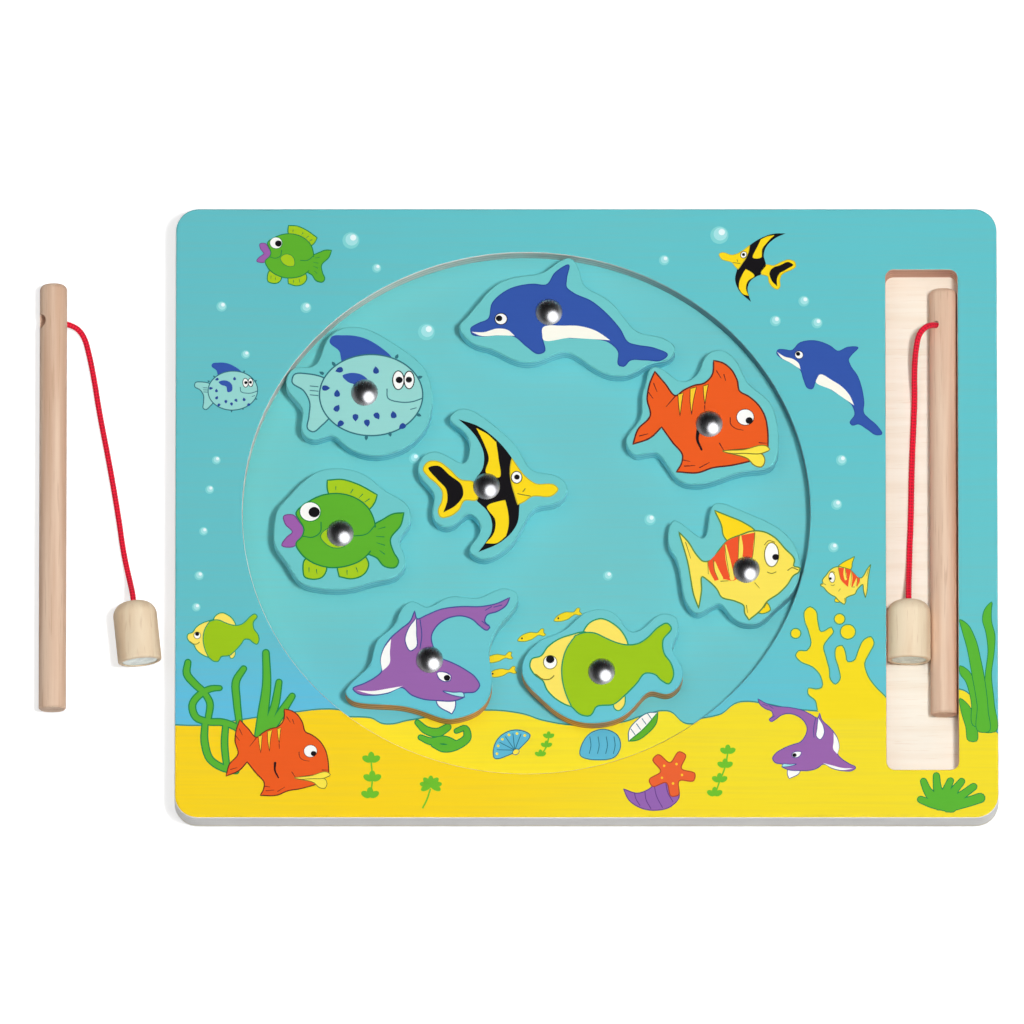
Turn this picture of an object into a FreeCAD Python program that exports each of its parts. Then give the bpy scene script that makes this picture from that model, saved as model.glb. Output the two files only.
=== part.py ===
import FreeCAD, Part
import math
import os

# Magnetic fishing game: a wooden board with an oval pool of eight loose fish, a slot that holds one rod,
# and a second rod lying beside the board. Each rod has a cord with a magnet in a turned bobbin at its end.
# Millimetres, +Z up. The origin is the middle of the board's underside, and the slot is at the board's right.

V = FreeCAD.Vector
UP = V(0, 0, 1)
ALONG_Y = V(0, 1, 0)

# Rods
rod_diameter = 10.0
rod_head_round = 2.2        # rounding of the end with the cord hole
rod_tail_bevel = 0.5        # bevel of the plain end
rod_hole_from_head = 14.0   # from the rounded end to the middle of the cord hole
rod_bore_length = 3.0       # narrow part of the cord hole, on the side where the cord comes out

# Cords and their knots
cord_diameter = 2.1
cord_bore_play = 0.35       # clear space round a cord in its bore
cord_lead = 2.6             # straight stretch of a cord outside a bore
knot_diameter = 4.6
knot_length = 4.2
knot_round = 1.5
knot_play = 0.3             # clear space round a knot in its chamber

# Bobbins and magnets
bobbin_diameter = 16.0
bobbin_length = 22.5
bobbin_shoulder_round = 5.2
bobbin_foot_round = 0.8
bobbin_bore_length = 3.0    # narrow part of the cord hole, under the domed top
magnet_diameter = 13.0
magnet_thickness = 3.0
magnet_play = 0.1           # clear space round a magnet in its seat
magnet_set_in = 0.3         # depth of a magnet's face inside the bobbin's foot
magnet_edge_bevel = 0.3

# Clear spaces of what lies in the slot
floor_play = 0.2
wall_play = 0.15
side_play = 0.25            # between the rod and the bobbin beside it

# Board
base_thickness = 3.0
play_thickness = 3.0
frame_thickness = 9.0
board_left_margin = 24.6
board_right_margin = 14.6
board_corner_round = 8.5
board_edge_round = 0.8
pool_width = 207.0
pool_length = 195.0
pool_end_margin = 16.5
pool_edge_round = 0.5
pool_to_slot = 27.7
slot_back_margin = 23.0
slot_front_margin = 18.0
slot_corner_round = 3.0
slot_edge_round = 0.4
rod_back_room = 6.0         # from the slot's back end to the rod
rod_front_room = 22.0       # from the rod to the slot's front end

# Fish plates and their studs
plate_edge_bevel = 0.4
stud_head_diameter = 9.8
stud_head_height = 2.8
stud_rim_height = 0.5
stud_shank_diameter = 3.2
stud_shank_length = 6.0
stud_shank_play = 0.1       # clear space round a shank in its hole
stud_hole_extra_depth = 0.5

# The loose rod beside the board
loose_hole_from_board = 44.65   # from the board's left side to the loose rod's axis
loose_hole_y = 73.6             # the loose rod's cord hole, along the board's depth
loose_cord_drop = 25.0          # degrees below level at which the cord leaves the loose rod
loose_bobbin_aside = 29.6       # from the loose rod's cord hole to its bobbin's top, across the rod
loose_bobbin_along = 105.5      # and along it
loose_bobbin_turn = 6.0         # degrees by which the loose bobbin is turned from the rod's line

# The rod in the slot
slot_cord_angle = 125.0         # degrees above level, from the right, at which the cord leaves the rod
slot_bobbin_along = 103.0       # from the rod's cord hole to its bobbin's top, along the rod

# Sizes that follow from those above
rod_radius = rod_diameter / 2
bobbin_radius = bobbin_diameter / 2
cord_radius = cord_diameter / 2
cord_bore_radius = cord_radius + cord_bore_play
knot_chamber_radius = knot_diameter / 2 + knot_play
magnet_seat_radius = magnet_diameter / 2 + magnet_play
magnet_seat_depth = magnet_thickness + magnet_set_in
beside = math.sqrt((bobbin_radius + rod_radius + side_play) ** 2 - (bobbin_radius - rod_radius) ** 2)
slot_width = wall_play + bobbin_radius + beside + rod_radius + wall_play
board_width = board_left_margin + pool_width + pool_to_slot + slot_width + board_right_margin
board_depth = pool_length + 2 * pool_end_margin
slot_length = board_depth - slot_back_margin - slot_front_margin
rod_length = slot_length - rod_back_room - rod_front_room
play_floor = base_thickness
pool_floor = base_thickness + play_thickness
board_top = pool_floor + frame_thickness
pool_x = -board_width / 2 + board_left_margin + pool_width / 2
slot_right = board_width / 2 - board_right_margin
slot_back = board_depth / 2 - slot_back_margin

# The fish's places and outlines are in hundredths of the pool's half width and half length, so that they
# keep to the pool. A place is that of the stud, from the pool's middle, and an outline goes round the stud.
grid_x = pool_width / 200
grid_y = pool_length / 200

PUFFER_PLACE = (-57, 46)
PUFFER = [
    (-27.2, 6.5), (-24.5, 9.5), (-18, 10.5), (-13.5, 20), (-7.5, 25), (1, 24.5), (11, 18.5), (21, 9.5), (24, -1),
    (21, -14.5), (11.5, -22.5), (2, -24), (-7, -20), (-11.5, -16.5), (-18, -18), (-22, -15), (-22, -6.5), (-26.5, 0),
]
DOLPHIN_PLACE = (8, 77)
DOLPHIN = [
    (-31, -4), (-24.5, 4), (-18, 11), (-10, 14), (-2, 15.5), (3.5, 19.5), (7.5, 20.8), (10.5, 17), (12.5, 10.5),
    (18.5, 6.5), (25.5, -0.5), (31.5, -7.5), (40.5, -10), (44.5, -14.5), (42, -18.3), (37, -19.5), (29.5, -23.5),
    (21, -24), (14.5, -20.5), (6, -15.5), (-4.5, -19), (-12, -18.5), (-21, -14), (-27.5, -11.5),
]
ORANGE_PLACE = (64.5, 34)
ORANGE = [
    (-22, 18), (-19, 22), (-15.5, 20.5), (-9.5, 16.5), (-4, 19.5), (-1, 26.5), (3.5, 28.5), (9.5, 24.5),
    (14, 15.5), (21, 9), (24, 0), (24.5, -9), (22, -16), (13.5, -18), (-0.5, -22.5), (-10, -22), (-15, -15.5),
    (-19, -11), (-26.5, -11.5), (-29.3, -7), (-24.3, 2.5), (-23.7, 11),
]
ANGEL_PLACE = (-14, 10)
ANGEL = [
    (-12.5, 27.5), (-8.5, 30), (-1.5, 27), (5.5, 21), (11.5, 14), (16, 6.5), (25, 4), (28.5, -0.5), (25, -6),
    (17.5, -8), (13.5, -13.5), (9.5, -21), (4, -26), (-2.5, -27.5), (-6, -24.5), (-3, -19), (-2.5, -14),
    (-6, -10.5), (-10.5, -14), (-15.5, -15.3), (-19, -11), (-18.5, -3.5), (-24, 5.5), (-22.5, 11.5), (-18, 13.5),
    (-7.5, 9.5), (-6, 15), (-9, 22),
]
GREEN_PLACE = (-65.5, -8)
GREEN = [
    (-21, 11), (-14.5, 18.5), (-7.5, 24), (1, 25), (9.5, 22), (16.5, 16), (23.5, 11), (24.5, 4), (21, -2.5),
    (23, -11), (19.5, -16.5), (12, -18.5), (6, -20.5), (-7.5, -21), (-14, -18.7), (-19, -11), (-23, -4.5),
    (-23.3, 3.5),
]
STRIPED_PLACE = (77.5, -22)
STRIPED = [
    (-27.5, 14.5), (-25.2, 19), (-20, 15.5), (-15, 12.5), (-13.3, 19), (-11, 25.5), (-4, 24), (4.5, 20),
    (11.5, 16), (17.3, 9), (19, 0), (15.5, -9.5), (9.5, -15.5), (5.5, -19.5), (-0.5, -20.5), (-5.5, -17.5),
    (-9.5, -13), (-17.5, -16.5), (-21, -13), (-23, -4), (-25.3, 5.5),
]
SHARK_PLACE = (-34, -56.5)
SHARK = [
    (-29.5, -11.5), (-26, -7), (-21, -1.5), (-18.5, 7.5), (-12.5, 13.5), (-10, 19.5), (-6, 22.5), (-1.5, 20.5),
    (6, 24), (17.5, 24), (26.5, 27.5), (31, 25), (28.5, 18), (23.5, 11.5), (21, 2), (22, -8.5), (19, -17.5),
    (12.5, -21.5), (6, -22.5), (-1.5, -20), (-10.5, -17.5), (-24, -16.5), (-28.5, -14.5),
]
LIME_PLACE = (26.5, -61)
LIME = [
    (-28, 2.5), (-26, 7.5), (-20, 13), (-12.5, 16.5), (-7, 22), (-1, 24), (5.5, 21.5), (10.5, 15.5), (16, 18),
    (20.5, 22), (26, 21), (26.5, 14), (25, 9), (28, 2.5), (27.5, -5), (22.5, -8.5), (17.5, -7.5), (12.5, -12),
    (6.5, -17.5), (-0.5, -19.5), (-8.5, -19), (-15.5, -15.5), (-22.5, -9), (-27.2, -3),
]
FISH = {
    "puffer_fish": (PUFFER_PLACE, PUFFER),
    "dolphin": (DOLPHIN_PLACE, DOLPHIN),
    "orange_fish": (ORANGE_PLACE, ORANGE),
    "angel_fish": (ANGEL_PLACE, ANGEL),
    "green_fish": (GREEN_PLACE, GREEN),
    "striped_fish": (STRIPED_PLACE, STRIPED),
    "shark": (SHARK_PLACE, SHARK),
    "lime_fish": (LIME_PLACE, LIME),
}

# The cords' routes by hand, between the straight leads at the rod and the bobbin. X and Y are from the middle of
# the rod's cord hole, and Z is from the ground.
LOOSE_CORD_ROUTE = [
    (11.1, -3.9, 1.1), (13.0, -11.0, 1.05), (14.9, -20.5, 1.05), (16.8, -33.0, 1.05), (20.6, -52.5, 1.05),
    (23.9, -72.0, 1.05), (25.6, -84.5, 1.05), (27.2, -92.3, 1.6), (28.5, -98.4, 4.2),
]
SLOT_CORD_ROUTE = [
    (-8.9, -3.6, 16.0), (-10.2, -10.5, 13.6), (-10.6, -18.0, 8.9), (-10.4, -26.5, 5.1), (-10.9, -37.0, 4.3),
    (-11.6, -54.0, 4.25), (-11.9, -71.0, 4.25), (-12.4, -82.5, 4.3), (-12.6, -90.0, 5.0), (-12.85, -96.1, 7.4),
]


def box_with_round_corners(width, depth, height, corner):
    """A flat block, centred in plan and standing on Z = 0, with its four upright edges rounded."""
    block = Part.makeBox(width, depth, height, V(-width / 2, -depth / 2, 0))
    upright = [e for e in block.Edges if abs(e.tangentAt(e.FirstParameter).z) > 0.9]
    return block.makeFillet(corner, upright)


def board_blank(thickness, height):
    """One board of the stack, with its underside at the given height."""
    blank = box_with_round_corners(board_width, board_depth, thickness, board_corner_round)
    blank.translate(UP * height)
    return blank


def edges_at(shape, height, tolerance=1e-4):
    """The edges of a shape that lie flat at one height."""
    return [e for e in shape.Edges
            if abs(e.BoundBox.ZMin - height) < tolerance and abs(e.BoundBox.ZMax - height) < tolerance]


def pool_cutter(height, thickness):
    """The oval of the pool as a solid."""
    half_width = pool_width / 2
    half_length = pool_length / 2
    middle = V(pool_x, 0, height)
    oval = Part.Ellipse(middle, max(half_width, half_length), min(half_width, half_length)).toShape()
    if half_length > half_width:
        oval.rotate(middle, UP, 90)
    return Part.Face(Part.Wire(oval)).extrude(UP * thickness)


def slot_cutter(height, thickness):
    """The slot with its rounded corners as a solid."""
    cutter = box_with_round_corners(slot_width, slot_length, thickness, slot_corner_round)
    cutter.translate(V(slot_right - slot_width / 2, slot_back - slot_length / 2, height))
    return cutter


def base_board():
    """The plain board that closes the underside and is the floor of the slot."""
    blank = board_blank(base_thickness, 0)
    return blank.makeFillet(board_edge_round, edges_at(blank, 0))


def play_board():
    """The printed board that is the floor of the pool, cut through for the slot."""
    return board_blank(play_thickness, play_floor).cut(slot_cutter(play_floor, play_thickness))


def top_frame():
    """The thick printed board with the pool and the slot cut through it, and its top edges eased."""
    blank = board_blank(frame_thickness, pool_floor)
    eased = blank.makeFillet(board_edge_round, edges_at(blank, board_top))
    frame = eased.cut(pool_cutter(pool_floor, frame_thickness)).cut(slot_cutter(pool_floor, frame_thickness))
    on_top = edges_at(frame, board_top)
    rim = [e for e in on_top if e.BoundBox.YLength > pool_length * 0.9 and e.BoundBox.XMax < slot_right - slot_width]
    pool_rim = [e for e in rim if e.BoundBox.XMax < pool_x + pool_width / 2 + pool_to_slot / 2 and e.isClosed()]
    frame = frame.makeFillet(pool_edge_round, pool_rim)
    left = slot_right - slot_width
    slot_rim = [e for e in edges_at(frame, board_top)
                if left - 0.01 < e.BoundBox.XMin and e.BoundBox.XMax < slot_right + 0.01
                and e.BoundBox.YMax < slot_back + 0.01 and e.BoundBox.YMin > slot_back - slot_length - 0.01]
    return frame.makeFillet(slot_edge_round, slot_rim)


def stud_point(place):
    """The middle of a stud's foot on the top of its fish plate."""
    return V(pool_x + place[0] * grid_x, place[1] * grid_y, board_top)


def fish_plate(place, outline):
    """A loose fish: a smooth outline cut from board as thick as the frame, bevelled on top and drilled for its stud."""
    stud = stud_point(place)
    points = [V(stud.x + x * grid_x, stud.y + y * grid_y, pool_floor) for x, y in outline]
    curve = Part.BSplineCurve()
    curve.interpolate(points, True)
    blank = Part.Face(Part.Wire(curve.toShape())).extrude(UP * frame_thickness)
    plate = blank.makeChamfer(plate_edge_bevel, edges_at(blank, board_top))
    depth = stud_shank_length + stud_hole_extra_depth
    hole = Part.makeCylinder(stud_shank_diameter / 2 + stud_shank_play, depth, stud - UP * depth)
    return plate.cut(hole)


def stud(place):
    """A domed steel stud: a low rim and a round crown over a shank with a bevelled tip."""
    head = stud_head_diameter / 2
    shank = stud_shank_diameter / 2
    crown = stud_head_height - stud_rim_height
    ball = (head ** 2 + crown ** 2) / (2 * crown)
    middle_of_crown = V(ball * math.sin(math.asin(head / ball) / 2), 0,
                        stud_head_height - ball + ball * math.cos(math.asin(head / ball) / 2))
    tip = shank / 3
    edges = [
        Part.LineSegment(V(0, 0, -stud_shank_length), V(shank - tip, 0, -stud_shank_length)),
        Part.LineSegment(V(shank - tip, 0, -stud_shank_length), V(shank, 0, tip - stud_shank_length)),
        Part.LineSegment(V(shank, 0, tip - stud_shank_length), V(shank, 0, 0)),
        Part.LineSegment(V(shank, 0, 0), V(head, 0, 0)),
        Part.LineSegment(V(head, 0, 0), V(head, 0, stud_rim_height)),
        Part.Arc(V(head, 0, stud_rim_height), middle_of_crown, V(0, 0, stud_head_height)),
        Part.LineSegment(V(0, 0, stud_head_height), V(0, 0, -stud_shank_length)),
    ]
    solid = turned(edges, UP)
    solid.translate(stud_point(place))
    return solid


def turned(edges, axis):
    """A solid turned about an axis through the origin from a closed chain of edges."""
    face = Part.Face(Part.Wire([edge.toShape() for edge in edges]))
    return face.revolve(V(0, 0, 0), axis, 360)


def quarter(middle, radius, start):
    """A quarter circle in the XY plane from one angle in degrees to 90 degrees less."""
    ends = [math.radians(start - step) for step in (0, 45, 90)]
    points = [V(middle.x + radius * math.cos(a), middle.y + radius * math.sin(a), 0) for a in ends]
    return Part.Arc(*points)


def rod_at_origin():
    """A rod along Y with its cord hole's middle at the origin and its cord coming out towards +X."""
    head = rod_hole_from_head
    tail = head - rod_length
    bevel = rod_tail_bevel
    edges = [
        Part.LineSegment(V(0, head, 0), V(rod_radius - rod_head_round, head, 0)),
        quarter(V(rod_radius - rod_head_round, head - rod_head_round, 0), rod_head_round, 90),
        Part.LineSegment(V(rod_radius, head - rod_head_round, 0), V(rod_radius, tail + bevel, 0)),
        Part.LineSegment(V(rod_radius, tail + bevel, 0), V(rod_radius - bevel, tail, 0)),
        Part.LineSegment(V(rod_radius - bevel, tail, 0), V(0, tail, 0)),
        Part.LineSegment(V(0, tail, 0), V(0, head, 0)),
    ]
    step = rod_radius - rod_bore_length
    bore = Part.makeCylinder(cord_bore_radius, rod_diameter, V(0, 0, 0), V(1, 0, 0))
    chamber = Part.makeCylinder(knot_chamber_radius, rod_diameter + step, V(-rod_diameter, 0, 0), V(1, 0, 0))
    return turned(edges, ALONG_Y).cut(bore).cut(chamber)


def bobbin_at_origin():
    """A bobbin along Y with its domed top at the origin and its foot towards -Y, bored for cord, knot and magnet."""
    shoulder = bobbin_shoulder_round
    foot = bobbin_foot_round
    radius = bobbin_radius
    edges = [
        Part.LineSegment(V(0, 0, 0), V(radius - shoulder, 0, 0)),
        quarter(V(radius - shoulder, -shoulder, 0), shoulder, 90),
        Part.LineSegment(V(radius, -shoulder, 0), V(radius, foot - bobbin_length, 0)),
        quarter(V(radius - foot, foot - bobbin_length, 0), foot, 0),
        Part.LineSegment(V(radius - foot, -bobbin_length, 0), V(0, -bobbin_length, 0)),
        Part.LineSegment(V(0, -bobbin_length, 0), V(0, 0, 0)),
    ]
    down = V(0, -1, 0)
    bore = Part.makeCylinder(cord_bore_radius, bobbin_length, V(0, 0, 0), down)
    chamber = Part.makeCylinder(knot_chamber_radius, bobbin_length, V(0, -bobbin_bore_length, 0), down)
    seat = Part.makeCylinder(magnet_seat_radius, bobbin_length, V(0, magnet_seat_depth - bobbin_length, 0), down)
    return turned(edges, ALONG_Y).cut(bore).cut(chamber).cut(seat)


def magnet_at_origin():
    """The magnet in the place that it has in a bobbin at the origin, with its edges bevelled."""
    inner_face = V(0, magnet_seat_depth - bobbin_length, 0)
    disc = Part.makeCylinder(magnet_diameter / 2, magnet_thickness, inner_face, V(0, -1, 0))
    rims = [e for e in disc.Edges if e.isClosed() and e.BoundBox.YLength < 1e-3]
    return disc.makeChamfer(magnet_edge_bevel, rims)


def knot_at_origin():
    """A knot as a barrel along Y, its face on the cord's side at the origin."""
    radius = knot_diameter / 2
    edges = [
        Part.LineSegment(V(0, 0, 0), V(radius - knot_round, 0, 0)),
        quarter(V(radius - knot_round, -knot_round, 0), knot_round, 90),
        Part.LineSegment(V(radius, -knot_round, 0), V(radius, knot_round - knot_length, 0)),
        quarter(V(radius - knot_round, knot_round - knot_length, 0), knot_round, 0),
        Part.LineSegment(V(radius - knot_round, -knot_length, 0), V(0, -knot_length, 0)),
        Part.LineSegment(V(0, -knot_length, 0), V(0, 0, 0)),
    ]
    return turned(edges, ALONG_Y)


def rod_knot_at_origin():
    """The knot in the place that it has in a rod at the origin, against the step of the cord hole."""
    knot = knot_at_origin()
    knot.rotate(V(0, 0, 0), UP, -90)
    knot.translate(V(rod_radius - rod_bore_length, 0, 0))
    return knot


def bobbin_knot_at_origin():
    """The knot in the place that it has in a bobbin at the origin, under the domed top."""
    knot = knot_at_origin()
    knot.translate(V(0, -bobbin_bore_length, 0))
    return knot


def arc_radius(before, corner, after):
    """The radius of the arc at one corner of a route, and the length of run that it takes up."""
    first = corner - before
    second = after - corner
    cut_back = 0.45 * min(first.Length, second.Length)
    turn = first.getAngle(second)
    return cut_back / math.tan(turn / 2), cut_back


def cord_tube(name, route):
    """A cord as a tube along straight runs that tangent arcs join."""
    edges = []
    reached = route[0]
    radii = []
    for before, corner, after in zip(route, route[1:], route[2:]):
        radius, cut_back = arc_radius(before, corner, after)
        radii.append(radius)
        into = (corner - before).normalize()
        out_of = (after - corner).normalize()
        start = corner - into * cut_back
        end = corner + out_of * cut_back
        inward = (out_of - into).normalize()
        half_turn = into.getAngle(out_of) / 2
        middle = corner + inward * (radius / math.cos(half_turn) - radius)
        edges.append(Part.LineSegment(reached, start).toShape())
        edges.append(Part.Arc(start, middle, end).toShape())
        reached = end
    edges.append(Part.LineSegment(reached, route[-1]).toShape())
    path = Part.Wire(edges)
    section = Part.Circle(route[0], route[1] - route[0], cord_radius).toShape()
    tube = path.makePipe(Part.Face(Part.Wire(section)))
    expected = math.pi * cord_radius ** 2 * path.Length
    print(f"{name}: length {path.Length:.1f}, tightest arc {min(radii):.1f}, "
          f"volume {tube.Volume:.1f} of {expected:.1f}, radii {[round(r, 1) for r in radii]}")
    return tube


def fishing_rod(name, hole, cord_turn, route, bobbin_top, bobbin_turn):
    """A rod with its cord, bobbin, magnet and knots, placed by the middle of its cord hole and the bobbin's top."""
    out_of_rod = V(math.cos(cord_turn), 0, -math.sin(cord_turn))
    out_of_bobbin = V(-math.sin(bobbin_turn), math.cos(bobbin_turn), 0)
    points = [hole + out_of_rod * (rod_radius - rod_bore_length), hole + out_of_rod * (rod_radius + cord_lead)]
    points += [V(hole.x + x, hole.y + y, z) for x, y, z in route]
    points += [bobbin_top + out_of_bobbin * cord_lead, bobbin_top - out_of_bobbin * bobbin_bore_length]
    pieces = {f"{name}_cord": cord_tube(f"{name}_cord", points)}
    on_rod = {"rod": rod_at_origin(), "rod_knot": rod_knot_at_origin()}
    on_bobbin = {"bobbin": bobbin_at_origin(), "magnet": magnet_at_origin(), "bobbin_knot": bobbin_knot_at_origin()}
    for part, shape in on_rod.items():
        shape.rotate(V(0, 0, 0), ALONG_Y, math.degrees(cord_turn))
        shape.translate(hole)
        pieces[f"{name}_{part}"] = shape
    for part, shape in on_bobbin.items():
        shape.rotate(V(0, 0, 0), UP, math.degrees(bobbin_turn))
        shape.translate(bobbin_top)
        pieces[f"{name}_{part}"] = shape
    return pieces


def rods_and_cords():
    """The loose rod beside the board, and the one in the slot."""
    loose_hole = V(-board_width / 2 - loose_hole_from_board, loose_hole_y, rod_radius)
    loose_top = V(loose_hole.x + loose_bobbin_aside, loose_hole.y - loose_bobbin_along, bobbin_radius)
    resting = base_thickness + floor_play
    slot_hole = V(slot_right - wall_play - rod_radius, slot_back - rod_back_room - rod_hole_from_head,
                  resting + rod_radius)
    slot_top = V(slot_right - slot_width + wall_play + bobbin_radius, slot_hole.y - slot_bobbin_along,
                 resting + bobbin_radius)
    pieces = fishing_rod("loose", loose_hole, math.radians(loose_cord_drop), LOOSE_CORD_ROUTE,
                         loose_top, math.radians(loose_bobbin_turn))
    pieces.update(fishing_rod("slot", slot_hole, -math.radians(slot_cord_angle), SLOT_CORD_ROUTE, slot_top, 0.0))
    return pieces


def build():
    """Every piece of the game, by name."""
    pieces = {"base_board": base_board(), "play_board": play_board(), "top_frame": top_frame()}
    for name, (place, outline) in FISH.items():
        pieces[f"{name}_plate"] = fish_plate(place, outline)
        pieces[f"{name}_stud"] = stud(place)
    pieces.update(rods_and_cords())
    return pieces


os.makedirs("parts", exist_ok=True)
for piece_name, piece_shape in build().items():
    solids = piece_shape.Solids
    print(piece_name, len(solids), "solid", round(piece_shape.Volume, 1), "mm3, valid", piece_shape.isValid())
    whole = solids[0] if len(solids) == 1 else piece_shape
    whole.exportStep(f"parts/{piece_name}.step")
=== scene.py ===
"""The look of a wooden magnetic fishing game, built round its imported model."""

import logging
import math
from dataclasses import dataclass, field
from enum import Enum

import bpy
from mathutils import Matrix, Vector


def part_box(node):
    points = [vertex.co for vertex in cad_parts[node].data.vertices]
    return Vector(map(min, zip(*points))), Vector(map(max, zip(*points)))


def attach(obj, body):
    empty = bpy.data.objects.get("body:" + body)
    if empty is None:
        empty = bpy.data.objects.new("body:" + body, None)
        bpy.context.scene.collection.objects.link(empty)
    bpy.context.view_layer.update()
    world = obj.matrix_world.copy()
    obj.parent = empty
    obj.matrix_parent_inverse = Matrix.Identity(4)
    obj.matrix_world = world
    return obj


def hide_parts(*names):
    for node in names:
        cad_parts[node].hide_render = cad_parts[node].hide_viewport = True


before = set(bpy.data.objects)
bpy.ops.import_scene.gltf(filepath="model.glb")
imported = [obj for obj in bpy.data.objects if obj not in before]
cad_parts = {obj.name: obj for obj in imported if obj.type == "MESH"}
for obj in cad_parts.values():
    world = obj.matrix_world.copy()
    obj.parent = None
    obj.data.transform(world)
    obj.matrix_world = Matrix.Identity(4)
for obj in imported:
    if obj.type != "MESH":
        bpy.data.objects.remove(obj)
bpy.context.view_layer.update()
LOG = logging.getLogger("fishing_game")

MM = 0.001
BOARD_TOP = 15 * MM
POOL_FLOOR = 6 * MM
PLY_PITCH = 3 * MM
PRINT_DEPTH = 0.02 * MM
NO_LENGTH = 1e-9

Socket = bpy.types.NodeSocket
Point = tuple[float, float]
Knot = tuple[float, float, float]
Place = tuple[float, float, float]
Colour = tuple[float, float, float, float]


def linear(red: int, green: int, blue: int) -> Colour:
    """A colour as it looks on a screen, in bytes, as the linear colour that a shader takes.

    Args:
        red: Red, 0 to 255.
        green: Green, 0 to 255.
        blue: Blue, 0 to 255.

    Returns:
        The linear colour with full alpha.
    """
    def one(byte: int) -> float:
        """One channel."""
        share = byte / 255
        return share / 12.92 if share <= 0.04045 else ((share + 0.055) / 1.055) ** 2.4

    return one(red), one(green), one(blue), 1.0


def mean_of(first: Colour, second: Colour) -> Colour:
    """The colour halfway between two."""
    return tuple((a + b) / 2 for a, b in zip(first, second))


class Ink(Enum):
    """The inks of the print, in screen bytes."""

    WHITE = (250, 250, 246)
    BLACK = (16, 13, 18)
    DOLPHIN_BLUE = (47, 84, 170)
    DOLPHIN_EDGE = (35, 66, 146)
    BELLY_CREAM = (253, 250, 236)
    PUFFER_AQUA = (150, 214, 208)
    PUFFER_EDGE = (46, 112, 124)
    SPOT_BLUE = (34, 68, 150)
    FIN_BLUE = (48, 84, 172)
    ORANGE = (237, 90, 20)
    ORANGE_EDGE = (88, 28, 24)
    STRIPE_YELLOW = (250, 205, 40)
    LIP_YELLOW = (250, 228, 70)
    ANGEL_YELLOW = (252, 217, 10)
    ANGEL_EDGE = (196, 178, 40)
    GREEN = (92, 178, 38)
    GREEN_EDGE = (22, 132, 66)
    FIN_LIME = (166, 204, 20)
    LIP_PURPLE = (158, 92, 172)
    LIP_EDGE = (112, 66, 128)
    STRIPED_YELLOW = (249, 226, 86)
    STRIPED_EDGE = (92, 138, 60)
    STRIPED_FIN = (253, 216, 14)
    STRIPE_RED = (240, 82, 36)
    SHARK_PURPLE = (152, 98, 170)
    SHARK_EDGE = (62, 74, 146)
    LIME = (156, 198, 8)
    LIME_EDGE = (34, 148, 96)
    LIME_FACE = (252, 228, 98)
    FACE_EDGE = (128, 120, 40)
    WEED = (88, 180, 46)
    WEED_EDGE = (26, 138, 70)
    SPRIG = (108, 192, 40)
    CORAL = (245, 219, 20)
    CORAL_EDGE = (70, 150, 96)
    BUBBLE = (128, 212, 212)
    BUBBLE_PALE = (164, 226, 228)
    BUBBLE_LIGHT = (232, 250, 250)
    STAR_RED = (234, 96, 44)
    STAR_EDGE = (176, 66, 34)
    SHELL_PURPLE = (148, 98, 176)
    SHELL_PURPLE_EDGE = (96, 60, 132)
    SHELL_BLUE = (92, 184, 214)
    SHELL_EDGE = (34, 108, 136)
    MINNOW = (248, 214, 30)
    MINNOW_EDGE = (122, 150, 60)


class Nodes:
    """A tree of shader nodes while it is put together."""

    def __init__(self, tree: bpy.types.NodeTree) -> None:
        """Starts with an empty tree.

        Args:
            tree: The tree of a material or of the world.
        """
        self.tree = tree
        self.tree.nodes.clear()

    def node(self, kind: str, **settings: object) -> bpy.types.Node:
        """Adds a node and sets its properties by name.

        Args:
            kind: The node's type.
            settings: Its properties.

        Returns:
            The node.
        """
        made = self.tree.nodes.new(kind)
        for name, value in settings.items():
            setattr(made, name, value)
        return made

    def link(self, source: Socket, target: Socket) -> None:
        """Joins two sockets."""
        self.tree.links.new(source, target)

    def feed(self, socket: Socket, value: object) -> None:
        """Gives a socket either a link or a plain value.

        Args:
            socket: The socket to feed.
            value: A socket to link, or the value itself.
        """
        if isinstance(value, Socket):
            self.link(value, socket)
        else:
            socket.default_value = value

    def math(self, operation: str, first: object, second: object = 0.0, clamp: bool = False) -> Socket:
        """One step of arithmetic.

        Args:
            operation: The math node's operation.
            first: A number or a socket.
            second: A number or a socket.
            clamp: Whether the result stays between 0 and 1.

        Returns:
            The result's socket.
        """
        made = self.node("ShaderNodeMath", operation=operation, use_clamp=clamp)
        self.feed(made.inputs[0], first)
        self.feed(made.inputs[1], second)
        return made.outputs[0]

    def ramp(self, value: object, low: float, high: float, to_low: float = 0.0, to_high: float = 1.0,
             soft: bool = True) -> Socket:
        """A number carried from one range to another.

        Args:
            value: The number's socket.
            low: Start of its range.
            high: End of its range.
            to_low: What the start becomes.
            to_high: What the end becomes.
            soft: Whether it eases in and out.

        Returns:
            The new number's socket.
        """
        made = self.node("ShaderNodeMapRange", interpolation_type="SMOOTHSTEP" if soft else "LINEAR")
        self.feed(made.inputs["Value"], value)
        for name, number in zip(("From Min", "From Max", "To Min", "To Max"), (low, high, to_low, to_high)):
            made.inputs[name].default_value = number
        return made.outputs[0]

    def split(self, vector: Socket) -> tuple[Socket, Socket, Socket]:
        """The three numbers of a vector.

        Args:
            vector: The vector's socket.

        Returns:
            Its X, Y and Z as sockets.
        """
        made = self.node("ShaderNodeSeparateXYZ")
        self.link(vector, made.inputs[0])
        return made.outputs[0], made.outputs[1], made.outputs[2]


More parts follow.
